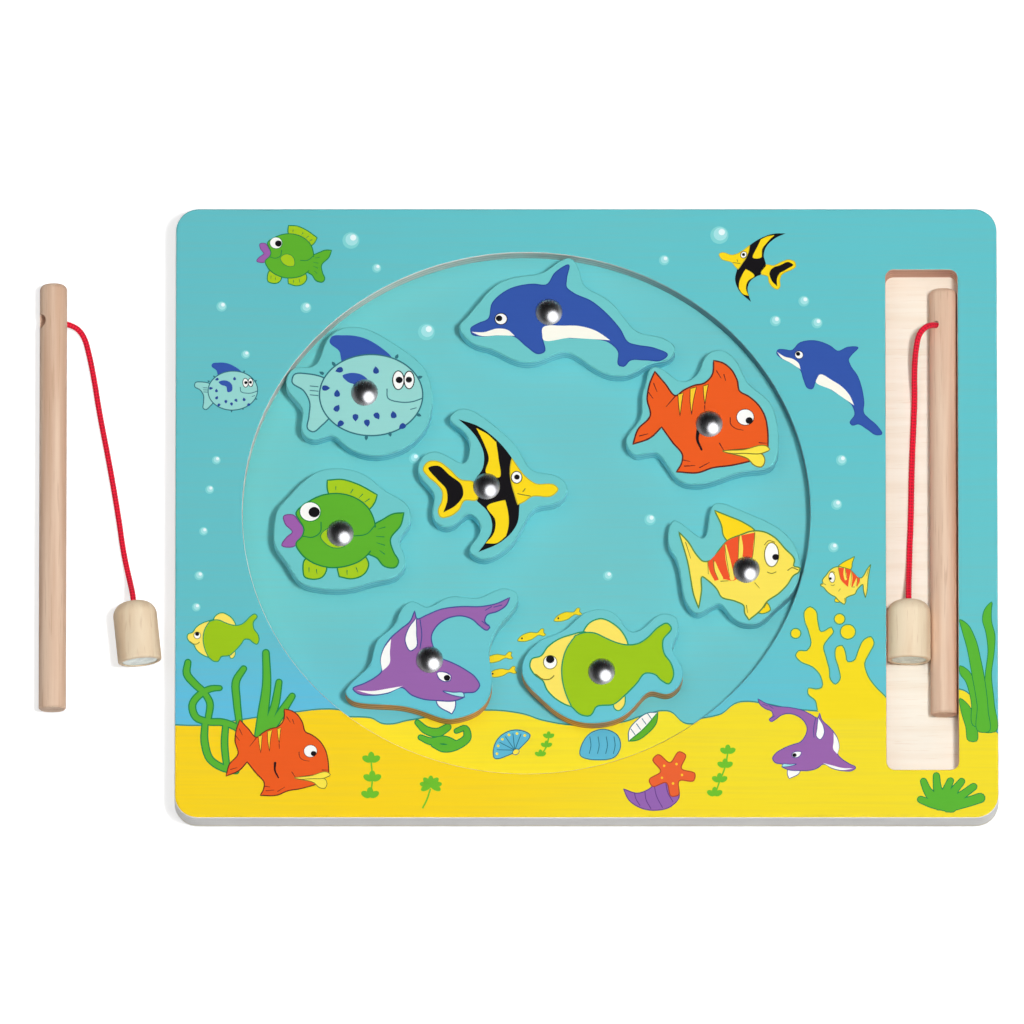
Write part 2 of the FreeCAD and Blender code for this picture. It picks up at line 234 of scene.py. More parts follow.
class Shade(Nodes):
    """A material's nodes, round one principled shader."""

    def __init__(self, name: str) -> None:
        """Starts a material with its output and its shader.

        Args:
            name: The material's name.
        """
        self.material = bpy.data.materials.new(name)
        self.material.use_nodes = True
        super().__init__(self.material.node_tree)
        self.output = self.node("ShaderNodeOutputMaterial")
        self.surface = self.node("ShaderNodeBsdfPrincipled")
        self.link(self.surface.outputs[0], self.output.inputs["Surface"])
        self.place = self.node("ShaderNodeTexCoord").outputs["Object"]

    def mix(self, share: object, first: object, second: object) -> Socket:
        """A mix of two colours.

        Args:
            share: How much of the second colour, a number or a socket.
            first: A colour or a socket.
            second: A colour or a socket.

        Returns:
            The mixed colour's socket.
        """
        made = self.node("ShaderNodeMix", data_type="RGBA")
        self.feed(made.inputs["Factor"], share)
        self.feed(made.inputs[6], first)
        self.feed(made.inputs[7], second)
        return made.outputs[2]

    def noise(self, pace: Place, detail: float, scale: float = 1.0, distortion: float = 0.0) -> Socket:
        """Smooth noise from 0 to 1 over the piece's own coordinates.

        Args:
            pace: How fast it changes along X, Y and Z, in turns a metre.
            detail: How many finer layers it has.
            scale: What the pace is multiplied by.
            distortion: How much it is warped.

        Returns:
            The noise's socket.
        """
        stretched = self.node("ShaderNodeMapping")
        self.link(self.place, stretched.inputs["Vector"])
        stretched.inputs["Scale"].default_value = pace
        made = self.node("ShaderNodeTexNoise")
        self.link(stretched.outputs[0], made.inputs["Vector"])
        made.inputs["Scale"].default_value = scale
        made.inputs["Detail"].default_value = detail
        made.inputs["Distortion"].default_value = distortion
        return made.outputs["Fac"]

    def axes(self) -> tuple[Socket, Socket, Socket]:
        """The piece's own X, Y and Z as sockets."""
        return self.split(self.place)

    def printed_grain(self) -> Socket:
        """The fine streaks of the wood that show through print."""
        return self.noise((28, 1100, 28), 3.0)

    def cut_plies(self, fibre_pace: float) -> Socket:
        """How dark a cut edge of the board is, from its plies and its fibres.

        Args:
            fibre_pace: How fast the fibres change along the edge.

        Returns:
            A socket from 0 to 1.
        """
        _, _, z = self.axes()
        plies = self.math("SINE", self.math("MULTIPLY", z, 2 * math.pi / PLY_PITCH))
        fibres = self.noise((fibre_pace, fibre_pace, 1400), 3.0)
        return self.ramp(self.math("ADD", self.math("MULTIPLY", plies, 0.30), fibres), 0.2, 0.9)

    def printed_face(self, level: float, steepest: float) -> Socket:
        """Where print lies on a piece.

        Args:
            level: The height in metres that print starts at.
            steepest: How little a printed face may look up, where 1 is flat.

        Returns:
            A socket with 1 on print and 0 on bare wood.
        """
        _, _, z = self.axes()
        _, _, looks_up = self.split(self.node("ShaderNodeNewGeometry").outputs["Normal"])
        on_top = self.math("GREATER_THAN", looks_up, steepest)
        on_level = self.math("GREATER_THAN", z, level)
        return self.math("MULTIPLY", on_top, on_level)

    def bump(self, height: Socket, strength: float, distance: float) -> None:
        """Roughens the surface from a height.

        Args:
            height: The height's socket.
            strength: From 0 to 1.
            distance: The depth of a full step, in metres.
        """
        made = self.node("ShaderNodeBump")
        made.inputs["Strength"].default_value = strength
        made.inputs["Distance"].default_value = distance
        self.link(height, made.inputs["Height"])
        self.link(made.outputs[0], self.surface.inputs["Normal"])

    def finish(self, colour: object, mean: Colour, roughness: object, **plain: float) -> bpy.types.Material:
        """Gives the shader its colour, its roughness and its plain numbers.

        Args:
            colour: A colour or its socket.
            mean: The mean colour, kept as the default under a link.
            roughness: A number or its socket.
            plain: Other inputs by name, with underscores for spaces.

        Returns:
            The finished material.
        """
        self.surface.inputs["Base Color"].default_value = mean
        self.feed(self.surface.inputs["Base Color"], colour)
        self.feed(self.surface.inputs["Roughness"], roughness)
        for name, number in plain.items():
            self.surface.inputs[name.replace("_", " ")].default_value = number
        self.material.diffuse_color = mean
        return self.material


@dataclass(frozen=True)
class InkFinish:
    """Screen-printed ink under satin lacquer."""

    roughness: float = 0.42
    specular: float = 0.14
    unevenness: float = 0.05
    relief: float = 0.03 * MM

    def toned(self, ink: Ink, gain: float) -> Colour:
        """An ink's colour, a little darker or lighter."""
        return tuple(min(1.0, channel * gain) for channel in linear(*ink.value)[:3]) + (1.0,)

    def material(self, ink: Ink) -> bpy.types.Material:
        """The material of one ink, a little uneven as print on wood is.

        Args:
            ink: The ink.

        Returns:
            Its material.
        """
        shade = Shade(f"ink_{ink.name.lower()}")
        fibres = shade.noise((60, 900, 60), 2.0)
        blotches = shade.noise((90, 90, 90), 2.0)
        share = shade.math("MULTIPLY", shade.math("ADD", fibres, blotches), 0.5)
        colour = shade.mix(share, self.toned(ink, 1 - self.unevenness), self.toned(ink, 1 + self.unevenness))
        shade.bump(fibres, 0.25, self.relief)
        return shade.finish(colour, linear(*ink.value), self.roughness, Specular_IOR_Level=self.specular)


@dataclass(frozen=True)
class SeaPrintFinish:
    """The printed sea on a board's upper face, with bare wood on its edges and walls, and shade painted in
    grey-teal on the pool wall's right side.
    """

    name: str
    height: float
    water: Colour = linear(94, 195, 203)
    water_left: Colour = linear(96, 192, 200)
    water_low: Colour = linear(92, 190, 224)
    water_wash: Colour = linear(118, 204, 196)
    sand_left: Colour = linear(250, 211, 6)
    sand_right: Colour = linear(244, 221, 32)
    shore: Colour = linear(44, 140, 132)
    streak: Colour = linear(160, 150, 100)
    outer_wood: Colour = linear(255, 254, 251)
    outer_wood_dark: Colour = linear(249, 246, 242)
    pool_wall: Colour = linear(250, 236, 226)
    pool_wall_dark: Colour = linear(226, 208, 198)
    # Painted shade: the pool wall's right side, darker and grey-teal, in its two plies.
    pool_wall_painted_shade: Colour = linear(128, 160, 168)
    pool_wall_painted_shade_dark_ply: Colour = linear(98, 132, 142)
    slot_wall: Colour = linear(236, 196, 174)
    slot_wall_dark: Colour = linear(202, 154, 132)
    shore_width: float = 0.55 * MM
    openings_reach_x: float = 138.5 * MM
    openings_reach_y: float = 100.5 * MM
    slot_from_x: float = 100 * MM
    board_half: float = 150.0
    shore_base: float = -100.0
    shore_span: float = 60.0
    eased: float = 0.5 * MM
    steepest: float = 0.72
    bare_roughness: float = 0.72
    print_roughness: float = 0.42
    relief: float = 0.05 * MM

    def shoreline(self, shade: Shade, x: Socket) -> Socket:
        """The height of the sand across the board.

        Args:
            shade: The material in hand.
            x: The board's X as a socket.

        Returns:
            A socket with the sand's Y in metres.
        """
        shore = [
            (-150, -79.3), (-139, -79.4), (-126, -77.4), (-108, -74.8), (-93, -73.4), (-87, -74.2),
            (-79, -74.6), (-73, -77.0), (-65, -75.6), (-50, -73.2), (-36, -71.8), (-25, -72.8),
            (-15, -75.8), (-4, -77.4), (10, -76.8), (22, -73.4), (29, -72.0), (37, -76.9), (48, -75.6),
            (57, -70.6), (65, -71.4), (74, -73.2), (82, -74.0), (88, -74.4), (98, -74.0), (104, -72.0),
            (109, -68.8), (124, -66.0), (136, -66.0), (143, -76.0), (150, -82.6),
        ]
        half = self.board_half
        spots = [((px + half) / (2 * half), (py - self.shore_base) / self.shore_span) for px, py in shore]
        curve = shade.node("ShaderNodeFloatCurve")
        line = curve.mapping.curves[0]
        line.points[0].location = spots[0]
        line.points[1].location = spots[-1]
        for spot in spots[1:-1]:
            line.points.new(*spot)
        curve.mapping.update()
        shade.link(shade.ramp(x, -half * MM, half * MM, soft=False), curve.inputs["Value"])
        scaled = shade.math("MULTIPLY", curve.outputs[0], self.shore_span * MM)
        return shade.math("ADD", scaled, self.shore_base * MM)

    def printed(self, shade: Shade) -> Socket:
        """The printed sea: water, a thin line along the shore, and sand.

        Args:
            shade: The material in hand.

        Returns:
            The colour's socket.
        """
        x, y, _ = shade.axes()
        wash = shade.noise((9, 14, 9), 2.0)
        water = shade.mix(shade.ramp(x, -0.15, 0.0), self.water_left, self.water)
        low = shade.math("MULTIPLY", shade.ramp(y, -0.030, -0.078), shade.ramp(x, 0.05, -0.10, 0.35, 1.0))
        water = shade.mix(low, water, self.water_low)
        water = shade.mix(shade.ramp(wash, 0.35, 0.7, 0.0, 0.10), water, self.water_wash)
        sand_tone = shade.math("ADD", shade.ramp(x, -0.13, 0.10), shade.ramp(wash, 0.3, 0.7, -0.25, 0.25))
        sand = shade.mix(shade.math("MAXIMUM", sand_tone, 0.0, clamp=True), self.sand_left, self.sand_right)
        shore = self.shoreline(shade, x)
        colour = shade.mix(shade.math("LESS_THAN", y, shore), water, sand)
        from_shore = shade.math("ABSOLUTE", shade.math("SUBTRACT", y, shore))
        colour = shade.mix(shade.math("LESS_THAN", from_shore, self.shore_width / 2), colour, self.shore)
        return shade.mix(shade.ramp(shade.printed_grain(), 0.35, 0.75, 0.0, 0.07), colour, self.streak)

    def bare_wood_and_painted_shade(self, shade: Shade) -> Socket:
        """The cut wood of the outer edge, of the pool's wall and of the slot's wall, with shade painted
        darker and grey-teal on the pool wall's right side.

        Args:
            shade: The material in hand.

        Returns:
            The colour's socket.
        """
        x, y, _ = shade.axes()
        across = shade.math("DIVIDE", shade.math("ABSOLUTE", x), self.openings_reach_x)
        along = shade.math("DIVIDE", shade.math("ABSOLUTE", y), self.openings_reach_y)
        outside = shade.math("GREATER_THAN", shade.math("MAXIMUM", across, along), 1.0)
        grade = shade.cut_plies(60)
        left = shade.mix(grade, self.pool_wall, self.pool_wall_dark)
        # Painted shade: the right side of the pool wall gets a darker grey-teal copy of its wood.
        right = shade.mix(grade, self.pool_wall_painted_shade, self.pool_wall_painted_shade_dark_ply)
        slot = shade.mix(grade, self.slot_wall, self.slot_wall_dark)
        # The pool wall keeps its own pale wood on the left and turns to the painted shade on the right.
        inner = shade.mix(shade.ramp(x, -0.02, 0.06), left, right)
        inner = shade.mix(shade.math("GREATER_THAN", x, self.slot_from_x), inner, slot)
        return shade.mix(outside, inner, shade.mix(grade, self.outer_wood, self.outer_wood_dark))

    def material(self) -> bpy.types.Material:
        """The whole material of one printed board.

        Returns:
            The finished material.
        """
        shade = Shade(self.name)
        covered = shade.printed_face(self.height - self.eased, self.steepest)
        colour = shade.mix(covered, self.bare_wood_and_painted_shade(shade), self.printed(shade))
        roughness = shade.ramp(covered, 0.0, 1.0, self.bare_roughness, self.print_roughness)
        shade.bump(shade.noise((40, 1000, 1000), 3.0), 0.22, self.relief)
        return shade.finish(colour, self.water, roughness, Specular_IOR_Level=0.16)


@dataclass(frozen=True)
class FishPlateFinish:
    """A loose fish: sea colour on its upper face, pale teal on its edge as a painted reflection of the water,
    lightened as painted light against the edge's shade, and brown edges at the pool's front.
    """

    name: str = "fish_plate_print"
    water: Colour = linear(108, 200, 202)
    water_low: Colour = linear(98, 196, 212)
    water_wash: Colour = linear(128, 208, 200)
    streak: Colour = linear(90, 170, 160)
    # Painted reflection: the edge's pale teal stands in for the water reflected in it, made light to lift the
    # edge out of its shade.
    edge: Colour = linear(168, 242, 250)
    edge_painted_reflection_dark_ply: Colour = linear(132, 218, 236)
    burnt: Colour = linear(240, 186, 136)
    burnt_dark: Colour = linear(200, 138, 92)
    eased: float = 0.6 * MM
    steepest: float = 0.60
    bare_roughness: float = 0.70
    print_roughness: float = 0.40
    relief: float = 0.05 * MM

    def material(self) -> bpy.types.Material:
        """The material of a fish plate.

        Returns:
            The finished material.
        """
        shade = Shade(self.name)
        _, y, _ = shade.axes()
        grain = shade.printed_grain()
        wash = shade.noise((16, 16, 16), 2.0)
        sea = shade.mix(shade.ramp(y, -0.02, -0.08), self.water, self.water_low)
        sea = shade.mix(shade.ramp(wash, 0.35, 0.7, 0.0, 0.12), sea, self.water_wash)
        sea = shade.mix(shade.ramp(grain, 0.35, 0.75, 0.0, 0.06), sea, self.streak)
        grade = shade.cut_plies(70)
        # Painted reflection on the plates further back, real burnt brown wood on those at the pool's front.
        wood = shade.mix(shade.ramp(y, -0.046, -0.062), shade.mix(grade, self.edge, self.edge_painted_reflection_dark_ply),
                         shade.mix(grade, self.burnt, self.burnt_dark))
        covered = shade.printed_face(BOARD_TOP - self.eased, self.steepest)
        roughness = shade.ramp(covered, 0.0, 1.0, self.bare_roughness, self.print_roughness)
        shade.bump(grain, 0.22, self.relief)
        return shade.finish(shade.mix(covered, wood, sea), self.water, roughness, Specular_IOR_Level=0.16)


class Grain(Enum):
    """The way a piece's grain runs, as how fast the grain changes along X, Y and Z."""

    ALONG_BOARD = (30.0, 650.0, 650.0)
    ALONG_ROD = (620.0, 24.0, 620.0)
    ALONG_BOBBIN = (420.0, 40.0, 420.0)


@dataclass(frozen=True)
class WoodFinish:
    """Sanded bare wood with streaks, short dark flecks and a fine bump."""

    name: str
    grain: Grain
    pale: Colour
    dark: Colour
    fleck: Colour
    roughness: float = 0.55
    fleck_share: float = 0.35
    relief: float = 0.06 * MM

    def material(self) -> bpy.types.Material:
        """The wood's material.

        Returns:
            The finished material.
        """
        shade = Shade(self.name)
        fast_x, fast_y, fast_z = self.grain.value
        streaks = shade.noise((fast_x, fast_y, fast_z), 4.0, scale=0.5, distortion=0.4)
        broad = shade.noise((fast_x / 6, fast_y / 6, fast_z / 6), 2.0, scale=0.6, distortion=0.8)
        fine = shade.noise((fast_x * 3, fast_y * 2.2, fast_z * 3), 2.0)
        tone = shade.math("ADD", shade.math("MULTIPLY", streaks, 0.6), shade.math("MULTIPLY", broad, 0.4))
        colour = shade.mix(shade.ramp(tone, 0.36, 0.66), self.pale, self.dark)
        flecks = shade.ramp(fine, 0.60, 0.72, 0.0, self.fleck_share)
        colour = shade.mix(flecks, colour, self.fleck)
        shade.bump(shade.math("ADD", streaks, shade.math("MULTIPLY", fine, 0.5)), 0.45, self.relief)
        roughness = shade.ramp(fine, 0.3, 0.7, self.roughness - 0.05, self.roughness + 0.08)
        return shade.finish(colour, mean_of(self.pale, self.dark), roughness, Specular_IOR_Level=0.30)


@dataclass(frozen=True)
class SteelFinish:
    """Bright metal, a little cloudy, with faint scuffs."""

    name: str
    colour: Colour
    dull: Colour
    roughness: float
    scratch: float
    wear: float = 0.10
    relief: float = 0.01 * MM

    def material(self) -> bpy.types.Material:
        """The metal's material.

        Returns:
            The finished material.
        """
        shade = Shade(self.name)
        cloud = shade.noise((300, 300, 300), 3.0)
        scuffs = shade.noise((2600, 260, 900), 2.0)
        colour = shade.mix(shade.ramp(cloud, 0.35, 0.7), self.colour, self.dull)
        roughness = shade.ramp(scuffs, 0.35, 0.75, self.roughness, self.roughness + self.scratch)
        if self.wear:
            shade.bump(scuffs, self.wear, self.relief)
        return shade.finish(colour, mean_of(self.colour, self.dull), roughness, Metallic=1.0)


@dataclass(frozen=True)
class CordFinish:
    """Soft red braid, with shade painted darker between its strands."""

    name: str = "red_braid"
    strand: Colour = linear(242, 24, 58)
    # Painted shade: the darker red put in the grooves between the strands.
    groove_painted_shade: Colour = linear(176, 8, 34)
    roughness: float = 0.78
    relief: float = 0.06 * MM

    def material(self) -> bpy.types.Material:
        """The braid's material.

        Returns:
            The finished material.
        """
        shade = Shade(self.name)
        height = shade.node("ShaderNodeAttribute", attribute_name="braid_height").outputs["Fac"]
        fibres = shade.noise((2400, 2400, 2400), 2.0)
        share = shade.math("ADD", height, shade.math("MULTIPLY", fibres, 0.35))
        # Painted shade: the braid's colour darkens where its strands sink, in the grooves between them.
        colour = shade.mix(shade.ramp(share, 0.25, 0.85), self.groove_painted_shade, self.strand)
        shade.bump(fibres, 0.5, self.relief)
        return shade.finish(colour, mean_of(self.strand, self.groove_painted_shade), self.roughness,
                            Specular_IOR_Level=0.25, Sheen_Weight=0.25, Sheen_Roughness=0.4)


@dataclass
class Finishes:
    """Every material of the game, made once."""

    wood_board: bpy.types.Material = field(init=False)
    printed_frame: bpy.types.Material = field(init=False)
    printed_floor: bpy.types.Material = field(init=False)
    fish_plate: bpy.types.Material = field(init=False)
    stud: bpy.types.Material = field(init=False)
    magnet: bpy.types.Material = field(init=False)
    rod: bpy.types.Material = field(init=False)
    bobbin: bpy.types.Material = field(init=False)
    cord: bpy.types.Material = field(init=False)
    inks: dict[Ink, bpy.types.Material] = field(init=False)

    def __post_init__(self) -> None:
        """Makes every material."""
        self.wood_board = WoodFinish(
            "plain_board", Grain.ALONG_BOARD, pale=linear(243, 239, 226), dark=linear(238, 230, 213),
            fleck=linear(226, 209, 186), roughness=0.6).material()
        self.printed_frame = SeaPrintFinish("sea_print_frame", BOARD_TOP).material()
        self.printed_floor = SeaPrintFinish(
            "sea_print_floor", POOL_FLOOR, water=linear(107, 198, 203), water_left=linear(108, 199, 200),
            water_low=linear(100, 197, 214), sand_left=linear(246, 224, 30),
            sand_right=linear(244, 228, 40)).material()
        self.fish_plate = FishPlateFinish().material()
        self.stud = SteelFinish(
            "stud_steel", colour=linear(192, 193, 196), dull=linear(184, 184, 188), roughness=0.27,
            scratch=0.02, wear=0.0).material()
        self.magnet = SteelFinish(
            "magnet_nickel", colour=linear(196, 203, 198), dull=linear(172, 179, 175), roughness=0.30,
            scratch=0.2).material()
        self.rod = WoodFinish(
            "rod_beech", Grain.ALONG_ROD, pale=linear(233, 204, 179), dark=linear(214, 176, 148),
            fleck=linear(180, 134, 104)).material()
        self.bobbin = WoodFinish(
            "bobbin_beech", Grain.ALONG_BOBBIN, pale=linear(242, 223, 193), dark=linear(228, 200, 165),
            fleck=linear(202, 165, 127)).material()
        self.cord = CordFinish().material()
        printing = InkFinish()
        self.inks = {ink: printing.material(ink) for ink in Ink}


def add_piece(name: str, mesh: bpy.types.Mesh) -> bpy.types.Object:
    """Puts a new mesh in the scene, riding on the board.

    Args:
        name: The piece's name.
        mesh: Its mesh.

    Returns:
        The new object.
    """
    piece = bpy.data.objects.new(name, mesh)
    bpy.context.scene.collection.objects.link(piece)
    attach(piece, "root")
    return piece


def turned(x: float, y: float, degrees: float) -> Point:
    """A point turned round the origin, anticlockwise."""
    angle = math.radians(degrees)
    return x * math.cos(angle) - y * math.sin(angle), x * math.sin(angle) + y * math.cos(angle)


def moved(middle: Point, step: Point) -> Point:
    """A point a step away from another."""
    return middle[0] + step[0], middle[1] + step[1]


def around(middle: Point, reach: float, degrees: float) -> Point:
    """The point at a distance from another, in a direction."""
    return moved(middle, turned(reach, 0, degrees))


def smooth(points: list[tuple[float, ...]], closed: bool, spacing: float) -> list[tuple[float, ...]]:
    """A smooth line through a few points. A point that is given twice in a row is a sharp corner.

    Args:
        points: The points, each of two or more numbers.
        closed: Whether the line runs back to its start.
        spacing: About how far apart the new points are.

    Returns:
        Points along the line, without the start repeated at the end.
    """
    spots = [Vector(p) for p in points]
    count = len(spots)

    def leap(index: int) -> Vector:
        """The step from one point to the next.

        Args:
            index: The first point's number.

        Returns:
            The step, or no step beyond an open line's ends.
        """
        if closed:
            return spots[(index + 1) % count] - spots[index % count]
        if 0 <= index < count - 1:
            return spots[index + 1] - spots[index]
        return Vector([0.0] * len(spots[0]))

    def heading(index: int) -> Vector:
        """The line's direction at a point, for a step of length one.

        Args:
            index: The point's number.

        Returns:
            The direction.
        """
        before, after = leap(index - 1), leap(index)
        if before.length < NO_LENGTH:
            return after / max(after.length, NO_LENGTH)
        if after.length < NO_LENGTH:
            return before / before.length
        total = before.length + after.length
        return (before * (after.length / before.length) + after * (before.length / after.length)) / total

    line = []
    for index in range(count if closed else count - 1):
        step = leap(index)
        if step.length < NO_LENGTH:
            continue
        start, end = spots[index], spots[(index + 1) % count]
        out, into = heading(index) * step.length, heading(index + 1) * step.length
        if leap(index + 1).length < NO_LENGTH:
            into = step
        if leap(index - 1).length < NO_LENGTH:
            out = step
        pieces = max(1, round(step.length / spacing))
        for piece in range(pieces):
            t = piece / pieces
            line.append(tuple(start * (2 * t ** 3 - 3 * t ** 2 + 1) + out * (t ** 3 - 2 * t ** 2 + t)
                              + end * (3 * t ** 2 - 2 * t ** 3) + into * (t ** 3 - t ** 2)))
    if not closed:
        line.append(tuple(spots[-1]))
    return line


@dataclass
class PrintSheet:
    """Print on one flat face: thin closed fields of ink, each a hair above what it covers."""

    name: str
    height: float
    slot: str
    layer_step: float = 0.018 * MM
    sunk: float = PRINT_DEPTH
    points: list[Place] = field(default_factory=list)
    faces: list[tuple[int, ...]] = field(default_factory=list)
    face_inks: list[Ink] = field(default_factory=list)

    def add(self, flat: list[Point], tops: list[list[int]], ink: Ink, layer: float) -> None:
        """Adds one closed field of ink.

        Args:
            flat: The field's points.
            tops: The faces of its upper side, anticlockwise, as numbers of points.
            ink: Its ink.
            layer: How many fields it lies above.
        """
        start = len(self.points)
        low, high = self.height - self.sunk, self.height + self.layer_step * (layer + 1)
        self.points += [(x, y, high) for x, y in flat] + [(x, y, low) for x, y in flat]
        under = start + len(flat)
        made = [tuple(start + i for i in face) for face in tops]
        made += [tuple(under + i for i in reversed(face)) for face in tops]
        sides = {(a, b) for face in tops for a, b in zip(face, face[1:] + face[:1])}
        rim = [(a, b) for a, b in sorted(sides) if (b, a) not in sides]
        made += [(start + b, start + a, under + a, under + b) for a, b in rim]
        self.faces += made
        self.face_inks += [ink] * len(made)

    def build(self, finishes: Finishes) -> None:
        """Makes the printed piece.

        Args:
            finishes: The game's materials.
        """
        mesh = bpy.data.meshes.new(self.name)
        mesh.from_pydata(self.points, [], self.faces)
        used = sorted(set(self.face_inks), key=lambda ink: ink.name)
        numbers = {ink: i for i, ink in enumerate(used)}
        for ink in used:
            mesh.materials.append(finishes.inks[ink])
        mesh.polygons.foreach_set("material_index", [numbers[ink] for ink in self.face_inks])
        mesh.update()
        add_piece(self.name, mesh)
        LOG.info("%s: %d faces in %d inks", self.name, len(self.faces), len(used))


def turned_area(loop: list[Point]) -> float:
    """Twice the area inside a loop, above zero where it runs anticlockwise."""
    return sum(a[0] * b[1] - b[0] * a[1] for a, b in zip(loop, loop[1:] + loop[:1]))


@dataclass
class Pen:
    """Draws in a figure's own units on a sheet, at a place, size and turn."""

    sheet: PrintSheet
    x: float = 0.0
    y: float = 0.0
    unit_x: float = MM
    unit_y: float = MM
    turn: float = 0.0
    mirrored: bool = False
    line: float = 0.42
    spacing: float = 0.9
    thinnest: float = 0.05

    @classmethod
    def fine(cls, sheet: PrintSheet, x: float = 0.0, y: float = 0.0, turn: float = 0.0) -> "Pen":
        """A pen for shells and small plants.

        Args:
            sheet: The sheet that it draws on.
            x: Its place in millimetres.
            y: Its place in millimetres.
            turn: Its turn in degrees.

        Returns:
            The pen.
        """
        return cls(sheet, x * MM, y * MM, turn=turn, line=0.38, spacing=0.8)

    def at(self, u: float, v: float) -> Point:
        """A point of the figure on the sheet, in metres."""
        along = u * self.unit_x * (-1 if self.mirrored else 1)
        return moved((self.x, self.y), turned(along, v * self.unit_y, self.turn))

    def fill(self, loop: list[Point], ink: Ink, layer: float) -> None:
        """A field of ink inside a ready line.

        Args:
            loop: The line's points in figure units.
            ink: Its ink.
            layer: How many fields it lies above.
        """
        placed = [self.at(*point) for point in loop]
        if turned_area(placed) < 0:
            placed.reverse()
        self.sheet.add(placed, [list(range(len(placed)))], ink, layer)

    def stroke(self, knots: list[Knot], ink: Ink, layer: float, closed: bool = False, grow: float = 0.0,
               ready: bool = False) -> None:
        """A line of ink with round ends.

        Args:
            knots: Points as figure units, each with the line's width there in millimetres.
            ink: The ink.
            layer: How many fields it lies above.
            closed: Whether it runs back to its start.
            grow: Millimetres added to its width.
            ready: Whether the points are dense enough as they are.
        """
        dense = knots if ready else smooth(knots, closed, self.spacing)
        line = [Vector(self.at(u, v)) for u, v, _ in dense]
        halves = [max(self.thinnest, w + grow) * MM / 2 for _, _, w in dense]
        count = len(line)
        left, right = [], []
        for i, (point, half) in enumerate(zip(line, halves)):
            before = line[i - 1] if closed or i else point
            after = line[(i + 1) % count] if closed or i < count - 1 else point
            along = after - before
            if along.length < NO_LENGTH * MM:
                along = Vector((1.0, 0.0))
            along.normalize()
            side = Vector((-along.y, along.x)) * half
            left.append(tuple(point + side))
            right.append(tuple(point - side))
        flat = left + right
        tops = [[count + i, count + (i + 1) % count, (i + 1) % count, i]
                for i in range(count if closed else count - 1)]
        if not closed:
            end_cap = self.cap(line[-1], line[-1] - line[-2], halves[-1])
            start_cap = self.cap(line[0], line[0] - line[1], halves[0])
            end_at = len(flat)
            start_at = end_at + len(end_cap)
            flat += end_cap + start_cap
            tops.append([2 * count - 1] + list(range(end_at, start_at)) + [count - 1])
            tops.append([0] + list(range(start_at, start_at + len(start_cap))) + [count])
        self.sheet.add(flat, tops, ink, layer)

    @staticmethod
    def cap(middle: Vector, outward: Vector, radius: float, steps: int = 5) -> list[Point]:
        """The points of a round end between its two corners, from the right side to the left.

        Args:
            middle: The line's last point.
            outward: The way that the line ends.
            radius: Half its width.
            steps: How many points are made.

        Returns:
            The points.
        """
        angle = math.atan2(outward.y, outward.x) - math.pi / 2
        turns = [angle + math.pi * (i + 1) / (steps + 1) for i in range(steps)]
        return [(middle.x + radius * math.cos(a), middle.y + radius * math.sin(a)) for a in turns]

    def bordered(self, loop: list[Point], ink: Ink, layer: float, edge: Ink | None, width: float) -> None:
        """A field inside a ready line, with an edge line along it if an ink is given for it.

        Args:
            loop: The line's points in figure units.
            ink: The field's ink.
            layer: How many fields it lies above.
            edge: The edge line's ink, if it has one.
            width: The edge line's width as a share of the pen's line.
        """
        self.fill(loop, ink, layer)
        if edge:
            knots = [(u, v, self.line * width) for u, v in loop]
            self.stroke(knots, edge, layer + 1, closed=True, ready=True)

    def shape(self, points: list[Point], ink: Ink, layer: float, edge: Ink | None = None,
              width: float = 1.0) -> None:
        """A smooth field with an edge line round it.

        Args:
            points: The field's border in figure units.
            ink: Its ink.
            layer: How many fields it lies above.
            edge: The edge line's ink, if it has one.
            width: The edge line's width as a share of the pen's line.
        """
        self.bordered(smooth(points, True, self.spacing), ink, layer, edge, width)

    def oval(self, middle: Point, wide: float, high: float, ink: Ink, layer: float, edge: Ink | None = None,
             turn: float = 0.0, width: float = 1.0) -> None:
        """An oval field, with an edge line if an ink is given for it.

        Args:
            middle: Its middle in figure units.
            wide: Its half width.
            high: Its half height.
            ink: Its ink.
            layer: How many fields it lies above.
            edge: The edge line's ink.
            turn: Its turn in degrees.
            width: The edge line's width as a share of the pen's line.
        """
        count = max(12, round(2 * math.pi * max(wide, high) / self.spacing))
        loop = []
        for i in range(count):
            angle = 2 * math.pi * i / count
            loop.append(moved(middle, turned(wide * math.cos(angle), high * math.sin(angle), turn)))
        self.bordered(loop, ink, layer, edge, width)

    def ink_line(self, points: list[Point], ink: Ink, layer: float, width: float = 1.0,
                 taper: float = 1.0) -> None:
        """An open drawn line that may get thinner towards its end.

        Args:
            points: Its points in figure units.
            ink: The ink.
            layer: How many fields it lies above.
            width: Its width as a share of the pen's line.
            taper: Its end's width as a share of its start's.
        """
        last = len(points) - 1
        knots = [(u, v, self.line * width * (1 + (taper - 1) * i / last)) for i, (u, v) in enumerate(points)]
        self.stroke(knots, ink, layer)

    def marks(self, lines: list[list[Point]], ink: Ink, layer: float, width: float = 1.0,
              taper: float = 1.0) -> None:
        """Several drawn lines of one kind.

        Args:
            lines: The points of each line in figure units.
            ink: The ink.
            layer: How many fields they lie above.
            width: Their width as a share of the pen's line.
            taper: Their end's width as a share of their start's.
        """
        for line in lines:
            self.ink_line(line, ink, layer, width, taper)

